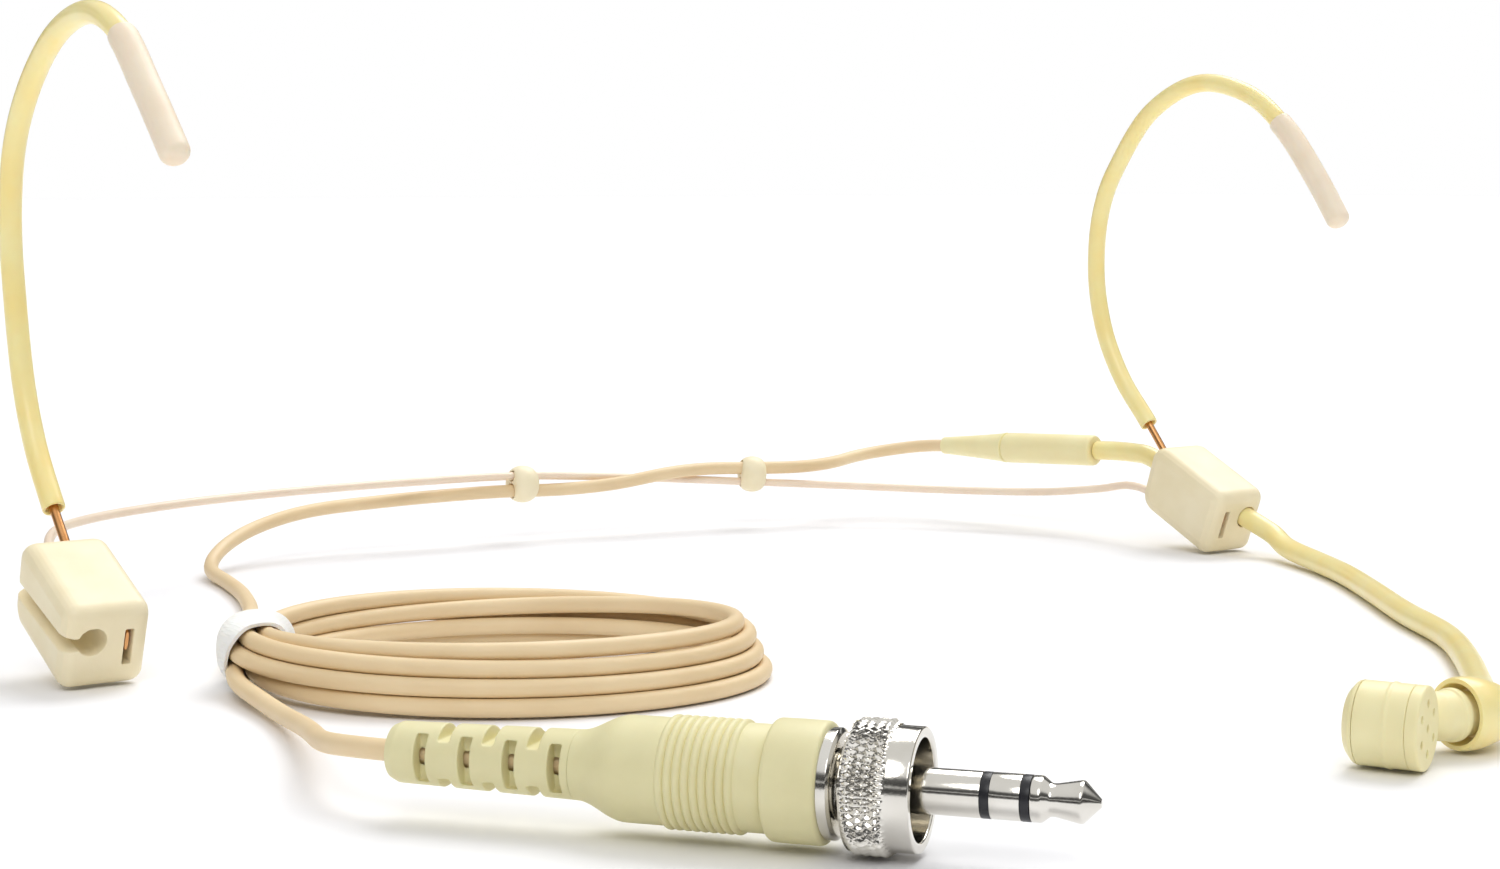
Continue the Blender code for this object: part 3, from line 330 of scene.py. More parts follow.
def skin(rings, closed=False):
    """A mesh that joins equal rings of points in order, closed by its ends or round on itself."""
    sides = len(rings[0])
    verts = [point for ring in rings for point in ring]
    faces = []
    for i in range(len(rings) if closed else len(rings) - 1):
        a = i * sides
        b = ((i + 1) % len(rings)) * sides
        faces += [(a + k, a + (k + 1) % sides, b + (k + 1) % sides, b + k) for k in range(sides)]
    if not closed:
        faces.append(tuple(reversed(range(sides))))
        faces.append(tuple(range(len(verts) - sides, len(verts))))
    return mesh_of(verts, faces)


def tube(path, radius, sides=24, end_round=0.0):
    """A solid round tube along a path, its ends eased over by end_round."""
    axes = path_frames(path)
    rings = [circle(p, f, radius, sides) for p, f in zip(path, axes)]
    if end_round:
        for share in (0.35, 0.75, 1.0):
            inset = end_round * (1.0 - math.sqrt(1.0 - (share * 0.98) ** 2))
            back = end_round * share
            rings.insert(0, circle(path[0] - axes[0][0] * back, axes[0], radius - inset, sides))
            rings.append(circle(path[-1] + axes[-1][0] * back, axes[-1], radius - inset, sides))
    return skin(rings)


def hose(path, outer, inner, sides=32, lip=0.12):
    """An open tube with a wall; outer and inner are radii, or functions of the distance along it."""
    along = distances(path)
    total = along[-1]
    outer_at = outer if callable(outer) else lambda s: outer
    inner_at = inner if callable(inner) else lambda s: inner
    stations = sorted({0.0, lip * 0.3, lip, total - lip, total - lip * 0.3, total,
                       *[s for s in along if 2 * lip < s < total - 2 * lip]})
    places = at_distances(path, stations)
    axes = path_frames(places)

    def ease(s):
        short = lip - min(s, total - s)
        return lip * 0.5 * (short / lip) ** 2 if short > 0.0 else 0.0

    rings = [circle(p, f, outer_at(s) - ease(s), sides) for p, f, s in zip(places, axes, stations)]
    bore = [circle(p, f, inner_at(s) + ease(s), sides) for p, f, s in zip(places, axes, stations)]
    return skin(rings + bore[::-1], closed=True)


def eased(profile, radius, steps=4):
    """A turned outline with its inside points rounded off by radius, as far as the sides allow."""
    out = [profile[0]]
    for before, corner, after in zip(profile, profile[1:], profile[2:]):
        corner = np.array(corner, float)
        to_before = np.array(before, float) - corner
        to_after = np.array(after, float) - corner
        one, two = np.linalg.norm(to_before), np.linalg.norm(to_after)
        reach = min(radius, 0.45 * one, 0.45 * two)
        a = corner + to_before / one * reach
        b = corner + to_after / two * reach
        for k in range(steps + 1):
            t = k / steps
            out.append(tuple((1 - t) ** 2 * a + 2 * t * (1 - t) * corner + t * t * b))
    out.append(profile[-1])
    return out


def axes_along(direction):
    forward = Vector(direction).normalized()
    side = UP.cross(forward).normalized()
    return forward, side, forward.cross(side)


def turned(profile, origin, direction, sides=96):
    """A solid of revolution from an outline of (radius, distance), closed by the axis or on itself."""
    forward, side, up = axes_along(direction)
    origin = Vector(origin)
    verts = []
    rings = []
    for radius, distance in profile:
        count = sides if radius > 1e-6 else 1
        rings.append([len(verts) + k for k in range(count)])
        for k in range(count):
            angle = 2 * math.pi * k / sides
            verts.append(origin + forward * distance
                         + (side * math.cos(angle) + up * math.sin(angle)) * radius)
    pairs = list(zip(rings, rings[1:]))
    if len(rings[0]) > 1:
        pairs.append((rings[-1], rings[0]))
    faces = []
    for a, b in pairs:
        for k in range(sides):
            ring = (a[k % len(a)], a[(k + 1) % len(a)], b[(k + 1) % len(b)], b[k % len(b)])
            faces.append(tuple(dict.fromkeys(ring)))
    return mesh_of(verts, faces)


def rod(start, end, radius, sides=48):
    start, end = Vector(start), Vector(end)
    length = (end - start).length
    return turned(((0.0, 0.0), (radius, 0.0), (radius, length), (0.0, length)), start, end - start, sides)


def prism(outline, axes, origin, depth):
    """A straight block of a flat outline given along axes[0] and axes[1], reaching depth both ways."""
    origin = Vector(origin)
    rings = [[origin + axes[0] * x + axes[1] * y + axes[2] * z for x, y in outline] for z in (-depth, depth)]
    return skin(rings)


def carved(mesh, cutters, voxel, ease):
    """A mesh with others cut out of it, remade in fine cells so that its edges come out softly moulded."""
    body = bpy.data.objects.new("carving", mesh)
    bpy.context.scene.collection.objects.link(body)
    kit = bpy.data.collections.new("cutters")
    bpy.context.scene.collection.children.link(kit)
    tools = [bpy.data.objects.new("cutter", cutter) for cutter in cutters]
    for tool in tools:
        kit.objects.link(tool)
    if tools:
        cut = body.modifiers.new("cut", "BOOLEAN")
        cut.operation = "DIFFERENCE"
        cut.operand_type = "COLLECTION"
        cut.collection = kit
    remesh = body.modifiers.new("cells", "REMESH")
    remesh.mode = "VOXEL"
    remesh.voxel_size = voxel
    smooth = body.modifiers.new("ease", "SMOOTH")
    smooth.factor = 0.5
    smooth.iterations = ease
    graph = bpy.context.evaluated_depsgraph_get()
    made = bpy.data.meshes.new_from_object(body.evaluated_get(graph))
    for used in [body, *tools]:
        bpy.data.objects.remove(used)
    bpy.data.collections.remove(kit)
    return made


def joined(*meshes):
    """Several meshes as one."""
    built = bmesh.new()
    for mesh in meshes:
        built.from_mesh(mesh)
    whole = bpy.data.meshes.new("joined")
    built.to_mesh(whole)
    built.free()
    return whole


def piece(name, mesh, body, finish, slot, stands_for=(), sharp=38.0):
    """One shown piece: the mesh, in the frame, riding on a body and standing for CAD nodes."""
    mesh.transform(TO_FRAME)
    mesh.materials.clear()
    mesh.materials.append(finish)
    mesh.shade_smooth()
    mesh.set_sharp_from_angle(angle=math.radians(sharp))
    obj = bpy.data.objects.new(name, mesh)
    bpy.context.scene.collection.objects.link(obj)
    if body:
        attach(obj, body)
    if stands_for:
        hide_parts(*stands_for)
    return obj


# ---- finishes

def linear(red, green, blue):
    """A colour given as 0-255 screen values."""
    return (*[((c / 255 + 0.055) / 1.055) ** 2.4 for c in (red, green, blue)], 1.0)


def noise_node(nodes, links, place, scale, detail):
    made = nodes.new("ShaderNodeTexNoise")
    made.inputs["Scale"].default_value = scale
    made.inputs["Detail"].default_value = detail
    links.new(place.outputs["Object"], made.inputs["Vector"])
    return made


def finish(name, light, deep, rough, grain, bump, drift=180.0, metallic=0.0, soft=0.0,
           soft_radius=(1.0, 0.7, 0.4), soft_depth=0.0008, specular=0.5, coat=0.0):
    """A finish that drifts between two colours, with uneven gloss and a fine grain; grain is per metre."""
    made = bpy.data.materials.new(name)
    made.use_nodes = True
    nodes, links = made.node_tree.nodes, made.node_tree.links
    shader = nodes["Principled BSDF"]
    shader.inputs["Metallic"].default_value = metallic
    shader.inputs["Specular IOR Level"].default_value = specular
    shader.inputs["Coat Weight"].default_value = coat
    shader.inputs["Subsurface Weight"].default_value = soft
    shader.inputs["Subsurface Radius"].default_value = soft_radius
    shader.inputs["Subsurface Scale"].default_value = soft_depth
    place = nodes.new("ShaderNodeTexCoord")
    slow = noise_node(nodes, links, place, drift, 3.0)
    fine = noise_node(nodes, links, place, grain, 4.0)
    spread = nodes.new("ShaderNodeMapRange")
    spread.inputs["From Min"].default_value = 0.3
    spread.inputs["From Max"].default_value = 0.7
    links.new(slow.outputs["Fac"], spread.inputs["Value"])
    mix = nodes.new("ShaderNodeMix")
    mix.data_type = "RGBA"
    mix.inputs["A"].default_value = deep
    mix.inputs["B"].default_value = light
    links.new(spread.outputs["Result"], mix.inputs["Factor"])
    links.new(mix.outputs["Result"], shader.inputs["Base Color"])
    gloss = nodes.new("ShaderNodeMapRange")
    gloss.inputs["To Min"].default_value = rough[0]
    gloss.inputs["To Max"].default_value = rough[1]
    links.new(fine.outputs["Fac"], gloss.inputs["Value"])
    links.new(gloss.outputs["Result"], shader.inputs["Roughness"])
    relief = nodes.new("ShaderNodeBump")
    relief.inputs["Strength"].default_value = bump
    relief.inputs["Distance"].default_value = 0.0001
    links.new(fine.outputs["Fac"], relief.inputs["Height"])
    links.new(relief.outputs["Normal"], shader.inputs["Normal"])
    return made


def woven(made, threads):
    """Adds a cloth's crossing threads to a finish's relief."""
    nodes, links = made.node_tree.nodes, made.node_tree.links
    place = next(n for n in nodes if n.type == "TEX_COORD")
    relief = next(n for n in nodes if n.type == "BUMP")
    waves = []
    for direction in ("X", "Z"):
        wave = nodes.new("ShaderNodeTexWave")
        wave.bands_direction = direction
        wave.inputs["Scale"].default_value = threads
        wave.inputs["Distortion"].default_value = 1.5
        links.new(place.outputs["Object"], wave.inputs["Vector"])
        waves.append(wave)
    cross = nodes.new("ShaderNodeMath")
    cross.operation = "MULTIPLY"
    links.new(waves[0].outputs["Fac"], cross.inputs[0])
    links.new(waves[1].outputs["Fac"], cross.inputs[1])
    links.new(cross.outputs["Value"], relief.inputs["Height"])
    return made


BLOCK_PLASTIC = finish("block_plastic", linear(250, 238, 204), linear(243, 229, 190), (0.38, 0.52), 2600.0,
                       0.12, soft=0.05)
CAPSULE_PLASTIC = finish("capsule_plastic", linear(250, 240, 190), linear(244, 232, 178), (0.36, 0.5), 3000.0,
                         0.12, soft=0.15)
PLUG_RUBBER = finish("plug_rubber", linear(234, 227, 180), linear(225, 217, 168), (0.42, 0.58), 2200.0, 0.18,
                     soft=0.12)
SILICONE = finish("silicone", linear(255, 240, 176), linear(255, 230, 152), (0.26, 0.4), 1500.0, 0.06,
                  soft=0.25, soft_radius=(1.0, 0.75, 0.35), soft_depth=0.0006, coat=0.2)
TIP_RUBBER = finish("tip_rubber", linear(250, 235, 212), linear(244, 226, 200), (0.4, 0.55), 2400.0, 0.15,
                    soft=0.25, soft_radius=(1.0, 0.7, 0.45))
CABLE_SKIN = finish("cable_skin", linear(240, 217, 176), linear(230, 204, 160), (0.4, 0.56), 2800.0, 0.16,
                    drift=90.0, soft=0.1)
NECKBAND_SKIN = finish("neckband_skin", linear(248, 230, 208), linear(242, 221, 198), (0.3, 0.46), 2600.0,
                       0.12, soft=0.1)
COPPER = finish("copper", linear(222, 170, 116), linear(196, 138, 86), (0.22, 0.4), 3500.0, 0.15,
                metallic=1.0)
NICKEL = finish("nickel", linear(230, 227, 220), linear(212, 208, 198), (0.08, 0.16), 4200.0, 0.04,
                metallic=1.0)
INSULATOR = finish("insulator", linear(30, 30, 36), linear(16, 16, 20), (0.28, 0.42), 2600.0, 0.1)
SCREEN = finish("screen", linear(130, 120, 88), linear(80, 72, 50), (0.7, 0.9), 9000.0, 0.6, drift=4000.0)
TIE_CLOTH = woven(finish("tie_cloth", linear(252, 252, 250), linear(242, 242, 238), (0.7, 0.9), 2500.0, 0.35,
                         soft=0.15), 900.0)


# ---- camera and lights

def add_camera():
    data = bpy.data.cameras.new("camera")
    data.lens = CAMERA_LENS
    data.sensor_width = 36.0
    data.clip_start = 0.01
    data.clip_end = 20.0
    camera = bpy.data.objects.new("camera", data)
    bpy.context.scene.collection.objects.link(camera)
    camera.location = CAMERA_PLACE
    level = math.cos(CAMERA_DIP)
    look = Vector((CAMERA_HEADING[0] * level, CAMERA_HEADING[1] * level, -math.sin(CAMERA_DIP)))
    camera.rotation_euler = look.to_track_quat("-Z", "Y").to_euler()
    bpy.context.scene.camera = camera


def add_world():
    """A studio seen as white, that lights in bands by height and most from overhead."""
    world = bpy.data.worlds.new("studio")
    world.use_nodes = True
    nodes, links = world.node_tree.nodes, world.node_tree.links
    nodes.clear()
    place = nodes.new("ShaderNodeTexCoord")
    split = nodes.new("ShaderNodeSeparateXYZ")
    links.new(place.outputs["Generated"], split.inputs["Vector"])
    ramp = nodes.new("ShaderNodeValToRGB")
    ramp.color_ramp.interpolation = "EASE"
    while len(ramp.color_ramp.elements) < len(SKY_BANDS):
        ramp.color_ramp.elements.new(0.5)
    for element, (height, level) in zip(ramp.color_ramp.elements, SKY_BANDS):
        element.position = height
        element.color = (level, level, level, 1.0)
    links.new(split.outputs["Z"], ramp.inputs["Fac"])
    lit = nodes.new("ShaderNodeBackground")
    lit.inputs["Strength"].default_value = SKY_STRENGTH
    links.new(ramp.outputs["Color"], lit.inputs["Color"])
    seen = nodes.new("ShaderNodeBackground")
    seen.inputs["Color"].default_value = (1.0, 1.0, 1.0, 1.0)
    path = nodes.new("ShaderNodeLightPath")
    mix = nodes.new("ShaderNodeMixShader")
    links.new(path.outputs["Is Camera Ray"], mix.inputs["Fac"])
    links.new(lit.outputs["Background"], mix.inputs[1])
    links.new(seen.outputs["Background"], mix.inputs[2])
    out = nodes.new("ShaderNodeOutputWorld")
    links.new(mix.outputs["Shader"], out.inputs["Surface"])
    bpy.context.scene.world = world


def add_sun(name, toward, strength, spread):
    data = bpy.data.lights.new(name, "SUN")
    data.energy = strength
    data.angle = math.radians(spread)
    light = bpy.data.objects.new(name, data)
    bpy.context.scene.collection.objects.link(light)
    light.rotation_euler = (-Vector(toward)).to_track_quat("-Z", "Y").to_euler()
    light.location = Vector(toward)


def add_studio():
    bpy.context.scene.view_settings.view_transform = "Standard"
    add_world()
    add_sun("key", *KEY_LIGHT)
    add_sun("fill", *FILL_LIGHT)
    corners = [(x, y, 0.0) for x, y in rectangle(FLOOR_HALF, FLOOR_HALF)]
    mesh = mesh_of(corners, [(0, 1, 2, 3)])
    paper = finish("floor_paper", linear(250, 250, 252), linear(247, 247, 250), (0.6, 0.75), 600.0, 0.02,
                   drift=3.0)
    mesh.materials.append(paper)
    floor = bpy.data.objects.new("floor", mesh)
    bpy.context.scene.collection.objects.link(floor)


# ---- lead

def winding_point(wound, outward, height):
    """A point in the coil after winding by an angle from the tie; outward is from the winding's middle."""
    flat = Vector((-COIL_HALF_LENGTH * math.cos(wound), -COIL_HALF_WIDTH * math.sin(wound), 0.0))
    normal = Vector((-math.cos(wound) / COIL_HALF_LENGTH, -math.sin(wound) / COIL_HALF_WIDTH, 0.0))
    normal.normalize()
    turn = Matrix.Rotation(COIL_ANGLE, 3, "Z")
    return Vector((*COIL_CENTRE, height)) + turn @ (flat + normal * outward)


def strand_lay():
    """Where the lead lies in the winding: its turns eased between the places of COIL_LAY and pushed apart."""
    step = 360.0 / COIL_STEPS
    turns = len(COIL_LAY)
    knots = [(-COIL_ENTRY[0], COIL_ENTRY[1])]
    for number, places in enumerate(COIL_LAY):
        knots += [(360.0 * number + 90.0 * quarter, place) for quarter, place in enumerate(places)]
    knots += [(360.0 * turns, COIL_LEAVES_TIE), (360.0 * turns + COIL_EXIT[0], COIL_EXIT[1])]
    angles = np.arange(-COIL_ENTRY[0], 360.0 * turns + COIL_EXIT[0] + step / 2, step)
    lay = []
    for angle in angles:
        index = max(i for i, knot in enumerate(knots[:-1]) if knot[0] <= angle + 1e-6)
        (a, here), (b, there) = knots[index:index + 2]
        share = (angle - a) / (b - a)
        share = share * share * (3 - 2 * share)
        lay.append(np.array(here) * (1 - share) + np.array(there) * share)
    lay = np.array(lay)
    ends = lay[0].copy(), lay[-1].copy()
    from_tie = np.abs((angles + 180.0) % 360.0 - 180.0)
    tied = from_tie < math.degrees(TIE_HALF_ANGLE)
    for _ in range(LAY_PASSES):
        for lag in range(1, turns + 1):
            n = lag * COIL_STEPS
            gap = lay[n:] - lay[:-n]
            apart = np.linalg.norm(gap, axis=1, keepdims=True)
            push = gap / apart * np.maximum(0.0, STRAND_SPACING - apart) / 2
            lay[n:] += push
            lay[:-n] -= push
        lay[1:-1] += LAY_EASE * (lay[:-2] + lay[2:] - 2 * lay[1:-1]) / 2
        lay[:, 1] = np.maximum(lay[:, 1], CORD_RADIUS + 0.05)
        for column, room in enumerate(TIE_ROOM):
            lay[tied, column] = np.clip(lay[tied, column], *room)
        lay[0], lay[-1] = ends
    return np.radians(angles), lay


def cord_path():
    """The lead's centreline: the run, six turns through the tie, and the end that goes into the plug."""
    angles, lay = strand_lay()
    winding = [winding_point(angle, *place) for angle, place in zip(angles, lay)]
    inside = [PLUG_START + PLUG_DIRECTION * s for s in (1.5, 5.0, 10.0, RELIEF_LENGTH - 0.5)]
    exit_end = Vector(RUN_ROUTE[0]) - TAIL_DIRECTION * 1.6
    path = [exit_end, *smooth_path(RUN_ROUTE, 1.4), *winding[1:-1], *smooth_path(LEAD_ROUTE, 1.4), *inside]
    return relaxed(evenly(path, 0.9), 8)


def add_cord():
    path = cord_path()
    cord = piece("lead", tube(path, CORD_RADIUS, 16), None, CABLE_SKIN, "cable",
                 ("cable_run", "cable_coil", "cable_lead"))
    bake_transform(cord)


def add_tie():
    """A soft band round the tied strands, its two edges slanting."""
    sides = 40
    stations = 9

    def ring(share, grow):
        points = []
        for k in range(sides):
            turn = 2 * math.pi * k / sides
            out = squared(math.cos(turn), TIE_SQUARENESS)
            up = squared(math.sin(turn), TIE_SQUARENESS)
            slant = 0.09 * math.sin(turn + 0.6) + 0.015 * math.sin(3 * turn)
            wound = TIE_HALF_ANGLE * share + slant
            bulge = grow + 0.1 * math.sin(2 * turn + 3 * share)
            height = TIE_HEIGHT + (TIE_SECTION[1] + bulge) * up
            points.append(winding_point(wound, (TIE_SECTION[0] + bulge) * out, max(height, 0.02)))
        return points

    shares = np.linspace(-1.0, 1.0, stations)
    outer = [ring(s, TIE_THICKNESS * (1.0 - 0.45 * abs(s) ** 6)) for s in shares]
    inner = [ring(s, 0.0) for s in shares[::-1]]
    mesh = skin(outer + inner, closed=True)
    return piece("cable_band", mesh, "root", TIE_CLOTH, "tie", ("cable_tie",), 60.0)


# ---- plug

def plug_turned(profile, sides=96):
    return turned(profile, PLUG_START, PLUG_DIRECTION, sides)


def add_strain_relief():
    """The slotted rubber tail, its slots alternating between sides and top."""
    rear, front = RELIEF_REAR_RADIUS, RELIEF_FRONT_RADIUS
    profile = [(RELIEF_BORE, 0.0), (rear - 0.9, 0.0), (rear - 0.3, 0.25), (rear, 0.95),
               (front, RELIEF_LENGTH), (RELIEF_BORE, RELIEF_LENGTH)]
    forward, side, up = axes_along(PLUG_DIRECTION)
    cutters = []
    for slots, across, outward in ((RELIEF_SIDE_SLOTS, up, side), (RELIEF_TOP_SLOTS, side, up)):
        count, first, half_span, depth = slots
        outline = rectangle(RELIEF_SLOT_WIDTH / 2, half_span)
        for k in range(count):
            for sign in (-1, 1):
                along = forward * (first + RELIEF_SLOT_PITCH * k)
                centre = PLUG_START + along + outward * ((depth + 2.0) * sign)
                cutters.append(prism(outline, (forward, across, outward), centre, 2.0))
    mesh = carved(plug_turned(profile, 64), cutters, 0.09, 3)
    return piece("plug_tail", mesh, "root", PLUG_RUBBER, "skin_plastic", ("plug_strain_relief",), 60.0)


def add_grip():
    """The plug's moulded body: a flare, a ribbed band and a smooth end, and the separate collar."""
    start = RELIEF_LENGTH + 0.02
    profile = [(0.0, start), (RELIEF_FRONT_RADIUS, start)]
    rise = GRIP_RADIUS - RELIEF_FRONT_RADIUS
    for k in range(1, 13):
        t = k / 12
        profile.append((RELIEF_FRONT_RADIUS + rise * (0.5 - 0.5 * math.cos(math.pi * t)),
                        start + (FLARE_END - start) * t))
    profile.append((GRIP_RADIUS, RIB_START - 0.2))
    for k in range(RIB_COUNT * 8 + 1):
        wave = abs(math.sin(math.pi * k / 8)) ** 0.7
        profile.append((GRIP_RADIUS + RIB_HEIGHT * wave, RIB_START + k * RIB_PITCH / 8))
    profile += [(GRIP_RADIUS, GRIP_END - 0.1), (GRIP_RADIUS - 0.1, GRIP_END), (0.0, GRIP_END)]
    grip = piece("plug_body", plug_turned(profile), "root", PLUG_RUBBER, "skin_plastic", ("plug_grip",), 50.0)
    start = GRIP_END + 0.03
    profile = eased([(0.0, start), (COLLAR_RADIUS, start), (COLLAR_RADIUS + 0.02, (start + COLLAR_END) / 2),
                     (COLLAR_RADIUS, COLLAR_END), (0.0, COLLAR_END)], 0.45, 6)
    collar = piece("plug_collar_ring", plug_turned(profile), "root", PLUG_RUBBER, "skin_plastic",
                   ("plug_collar",), 50.0)
    return [grip, collar]


def add_flange():
    start = COLLAR_END + 0.02
    bore = PIN_RADIUS + 0.05
    hub_end = NUT_START + 2.6
    profile = [(GRIP_RADIUS + 0.1, start), (GRIP_RADIUS + 0.1, FLANGE_END - 0.25),
               (GRIP_RADIUS - 0.25, FLANGE_END), (HUB_RADIUS + 0.35, FLANGE_END),
               (HUB_RADIUS, FLANGE_END + 0.2), (HUB_RADIUS, hub_end), (bore, hub_end)]
    mesh = plug_turned([(bore, start), *eased(profile, 0.08, 3)])
    return piece("plug_hub", mesh, "root", NICKEL, "nickel", ("plug_flange",))


def knurl(turn, distance):
    """How far a diamond knurl stands up, 0 to 1, at a turn round the nut and a distance along it."""
    share = KNURLS * turn / (2 * math.pi)
    one = (share + distance / KNURL_PITCH) % 1.0
    two = (share - distance / KNURL_PITCH) % 1.0
    return min(1.0, 1.3 * min(1.0 - abs(2 * one - 1), 1.0 - abs(2 * two - 1)))


def add_nut():
    """The coupling nut, with a diamond knurl cut in its rear band."""
    bore = HUB_RADIUS + GAP
    band_start = NUT_START + 0.3
    rows = [(bore, NUT_START, 0.0), (3.3, NUT_START, 0.0), (3.5, NUT_START + 0.08, 0.0),
            (NUT_RADIUS - 0.45, band_start, 0.0), (NUT_RADIUS - 0.3, band_start + 0.02, 0.0)]
    count = 36
    for k in range(count + 1):
        t = k / count
        place = band_start + 0.05 + (NUT_KNURL_END - 0.1 - band_start) * t
        edge = min(1.0, 7.0 * t, 7.0 * (1.0 - t))
        rows.append((NUT_RADIUS - KNURL_DEPTH - 0.12 * (1.0 - edge), place, edge))
    profile = [(NUT_FRONT_RADIUS, NUT_KNURL_END), (NUT_FRONT_RADIUS, NUT_END), (NUT_BORE, NUT_END),
               (NUT_BORE, NUT_START + 1.2), (bore, NUT_START + 1.2)]
    rows += [(radius, distance, 0.0) for radius, distance in eased(profile, 0.18, 4)]
    sides = KNURLS * 9
    forward, side, up = axes_along(PLUG_DIRECTION)
    rings = []
    for radius, distance, edge in rows:
        ring = []
        for k in range(sides):
            turn = 2 * math.pi * k / sides
            reach = radius + KNURL_DEPTH * edge * knurl(turn, distance - band_start) if edge else radius
            outward = side * math.cos(turn) + up * math.sin(turn)
            ring.append(PLUG_START + forward * distance + outward * reach)
        rings.append(ring)
    mesh = skin(rings, closed=True)
    return piece("knurled_nut", mesh, "coupling_nut", NICKEL, "nickel", ("coupling_nut",), 34.0)


def pin_ring(name, bore, start, end, look, node):
    profile = [(bore, start), (PIN_RADIUS, start), (PIN_RADIUS, end), (bore, end)]
    rounded = [profile[0], *eased(profile, 0.06, 2)[1:]]
    return piece(name, plug_turned(rounded, 64), "root", *look, (node,))


def add_pin():
    """The three-pole pin: sleeve, ring and tip contacts with black rings between them."""
    fit = 0.01
    start = COLLAR_END + 0.1
    metal = NICKEL, "nickel"
    black = INSULATOR, "insulator"
    rear, front = REAR_RING - RING_WIDTH, FRONT_RING - RING_WIDTH
    bore = PIN_STEM_RADIUS + 0.02
    made = [pin_ring("pin_sleeve", 1.35, start, rear - fit, metal, "sleeve_contact"),
            pin_ring("pin_rear_ring", bore, rear, REAR_RING, black, "rear_insulator"),
            pin_ring("pin_ring", 1.0, REAR_RING + fit, front - fit, metal, "ring_contact"),
            pin_ring("pin_front_ring", bore, front, FRONT_RING, black, "front_insulator")]
    waist = FRONT_RING + 1.75
    shoulder = PIN_TIP - 1.45
    profile = [(PIN_STEM_RADIUS, FRONT_RING + fit), (PIN_RADIUS, FRONT_RING + fit),
               (PIN_RADIUS, FRONT_RING + 0.75), (PIN_WAIST_RADIUS, waist - 0.35), (PIN_WAIST_RADIUS, waist),
               (PIN_SHOULDER_RADIUS, shoulder), (PIN_SHOULDER_RADIUS - 0.04, shoulder + 0.2), (0.3, PIN_TIP)]
    profile = [(0.0, start), (PIN_STEM_RADIUS, start), *eased(profile, 0.14, 3), (0.0, PIN_TIP)]
    made.append(piece("pin_tip", plug_turned(profile, 64), "root", *metal, ("tip_contact",)))
    return made


# ---- headset

def block_outline(inset):
    """The block's side view, drawn in by inset: it rises to the back, and its corners are rounded."""
    corners = [Vector(corner[:2]) for corner in BLOCK_CORNERS]
    points = []
    for i, corner in enumerate(corners):
        to_before = (corners[i - 1] - corner).normalized()
        to_after = (corners[(i + 1) % len(corners)] - corner).normalized()
        half_angle = to_before.angle(to_after) / 2
        radius = BLOCK_CORNERS[i][2]
        centre = corner + (to_before + to_after).normalized() * (radius / math.sin(half_angle))
        reach = radius / math.tan(half_angle)
        start = corner + to_before * reach - centre
        end = corner + to_after * reach - centre
        for k in range(9):
            points.append(tuple(centre + start.lerp(end, k / 8).normalized() * max(radius - inset, 0.02)))
    return points


def at_ear(side, distance):
    """The x of something at one ear, given its distance from the middle on the right side."""
    return side * distance - (LEFT_SPREAD if side < 0 else 0.0)


def block_matrix(side):
    x, y, z = BLOCK_CENTRE
    return Matrix.Translation((at_ear(side, x), y, z)) @ Matrix.Rotation(BLOCK_PITCH, 4, "X")


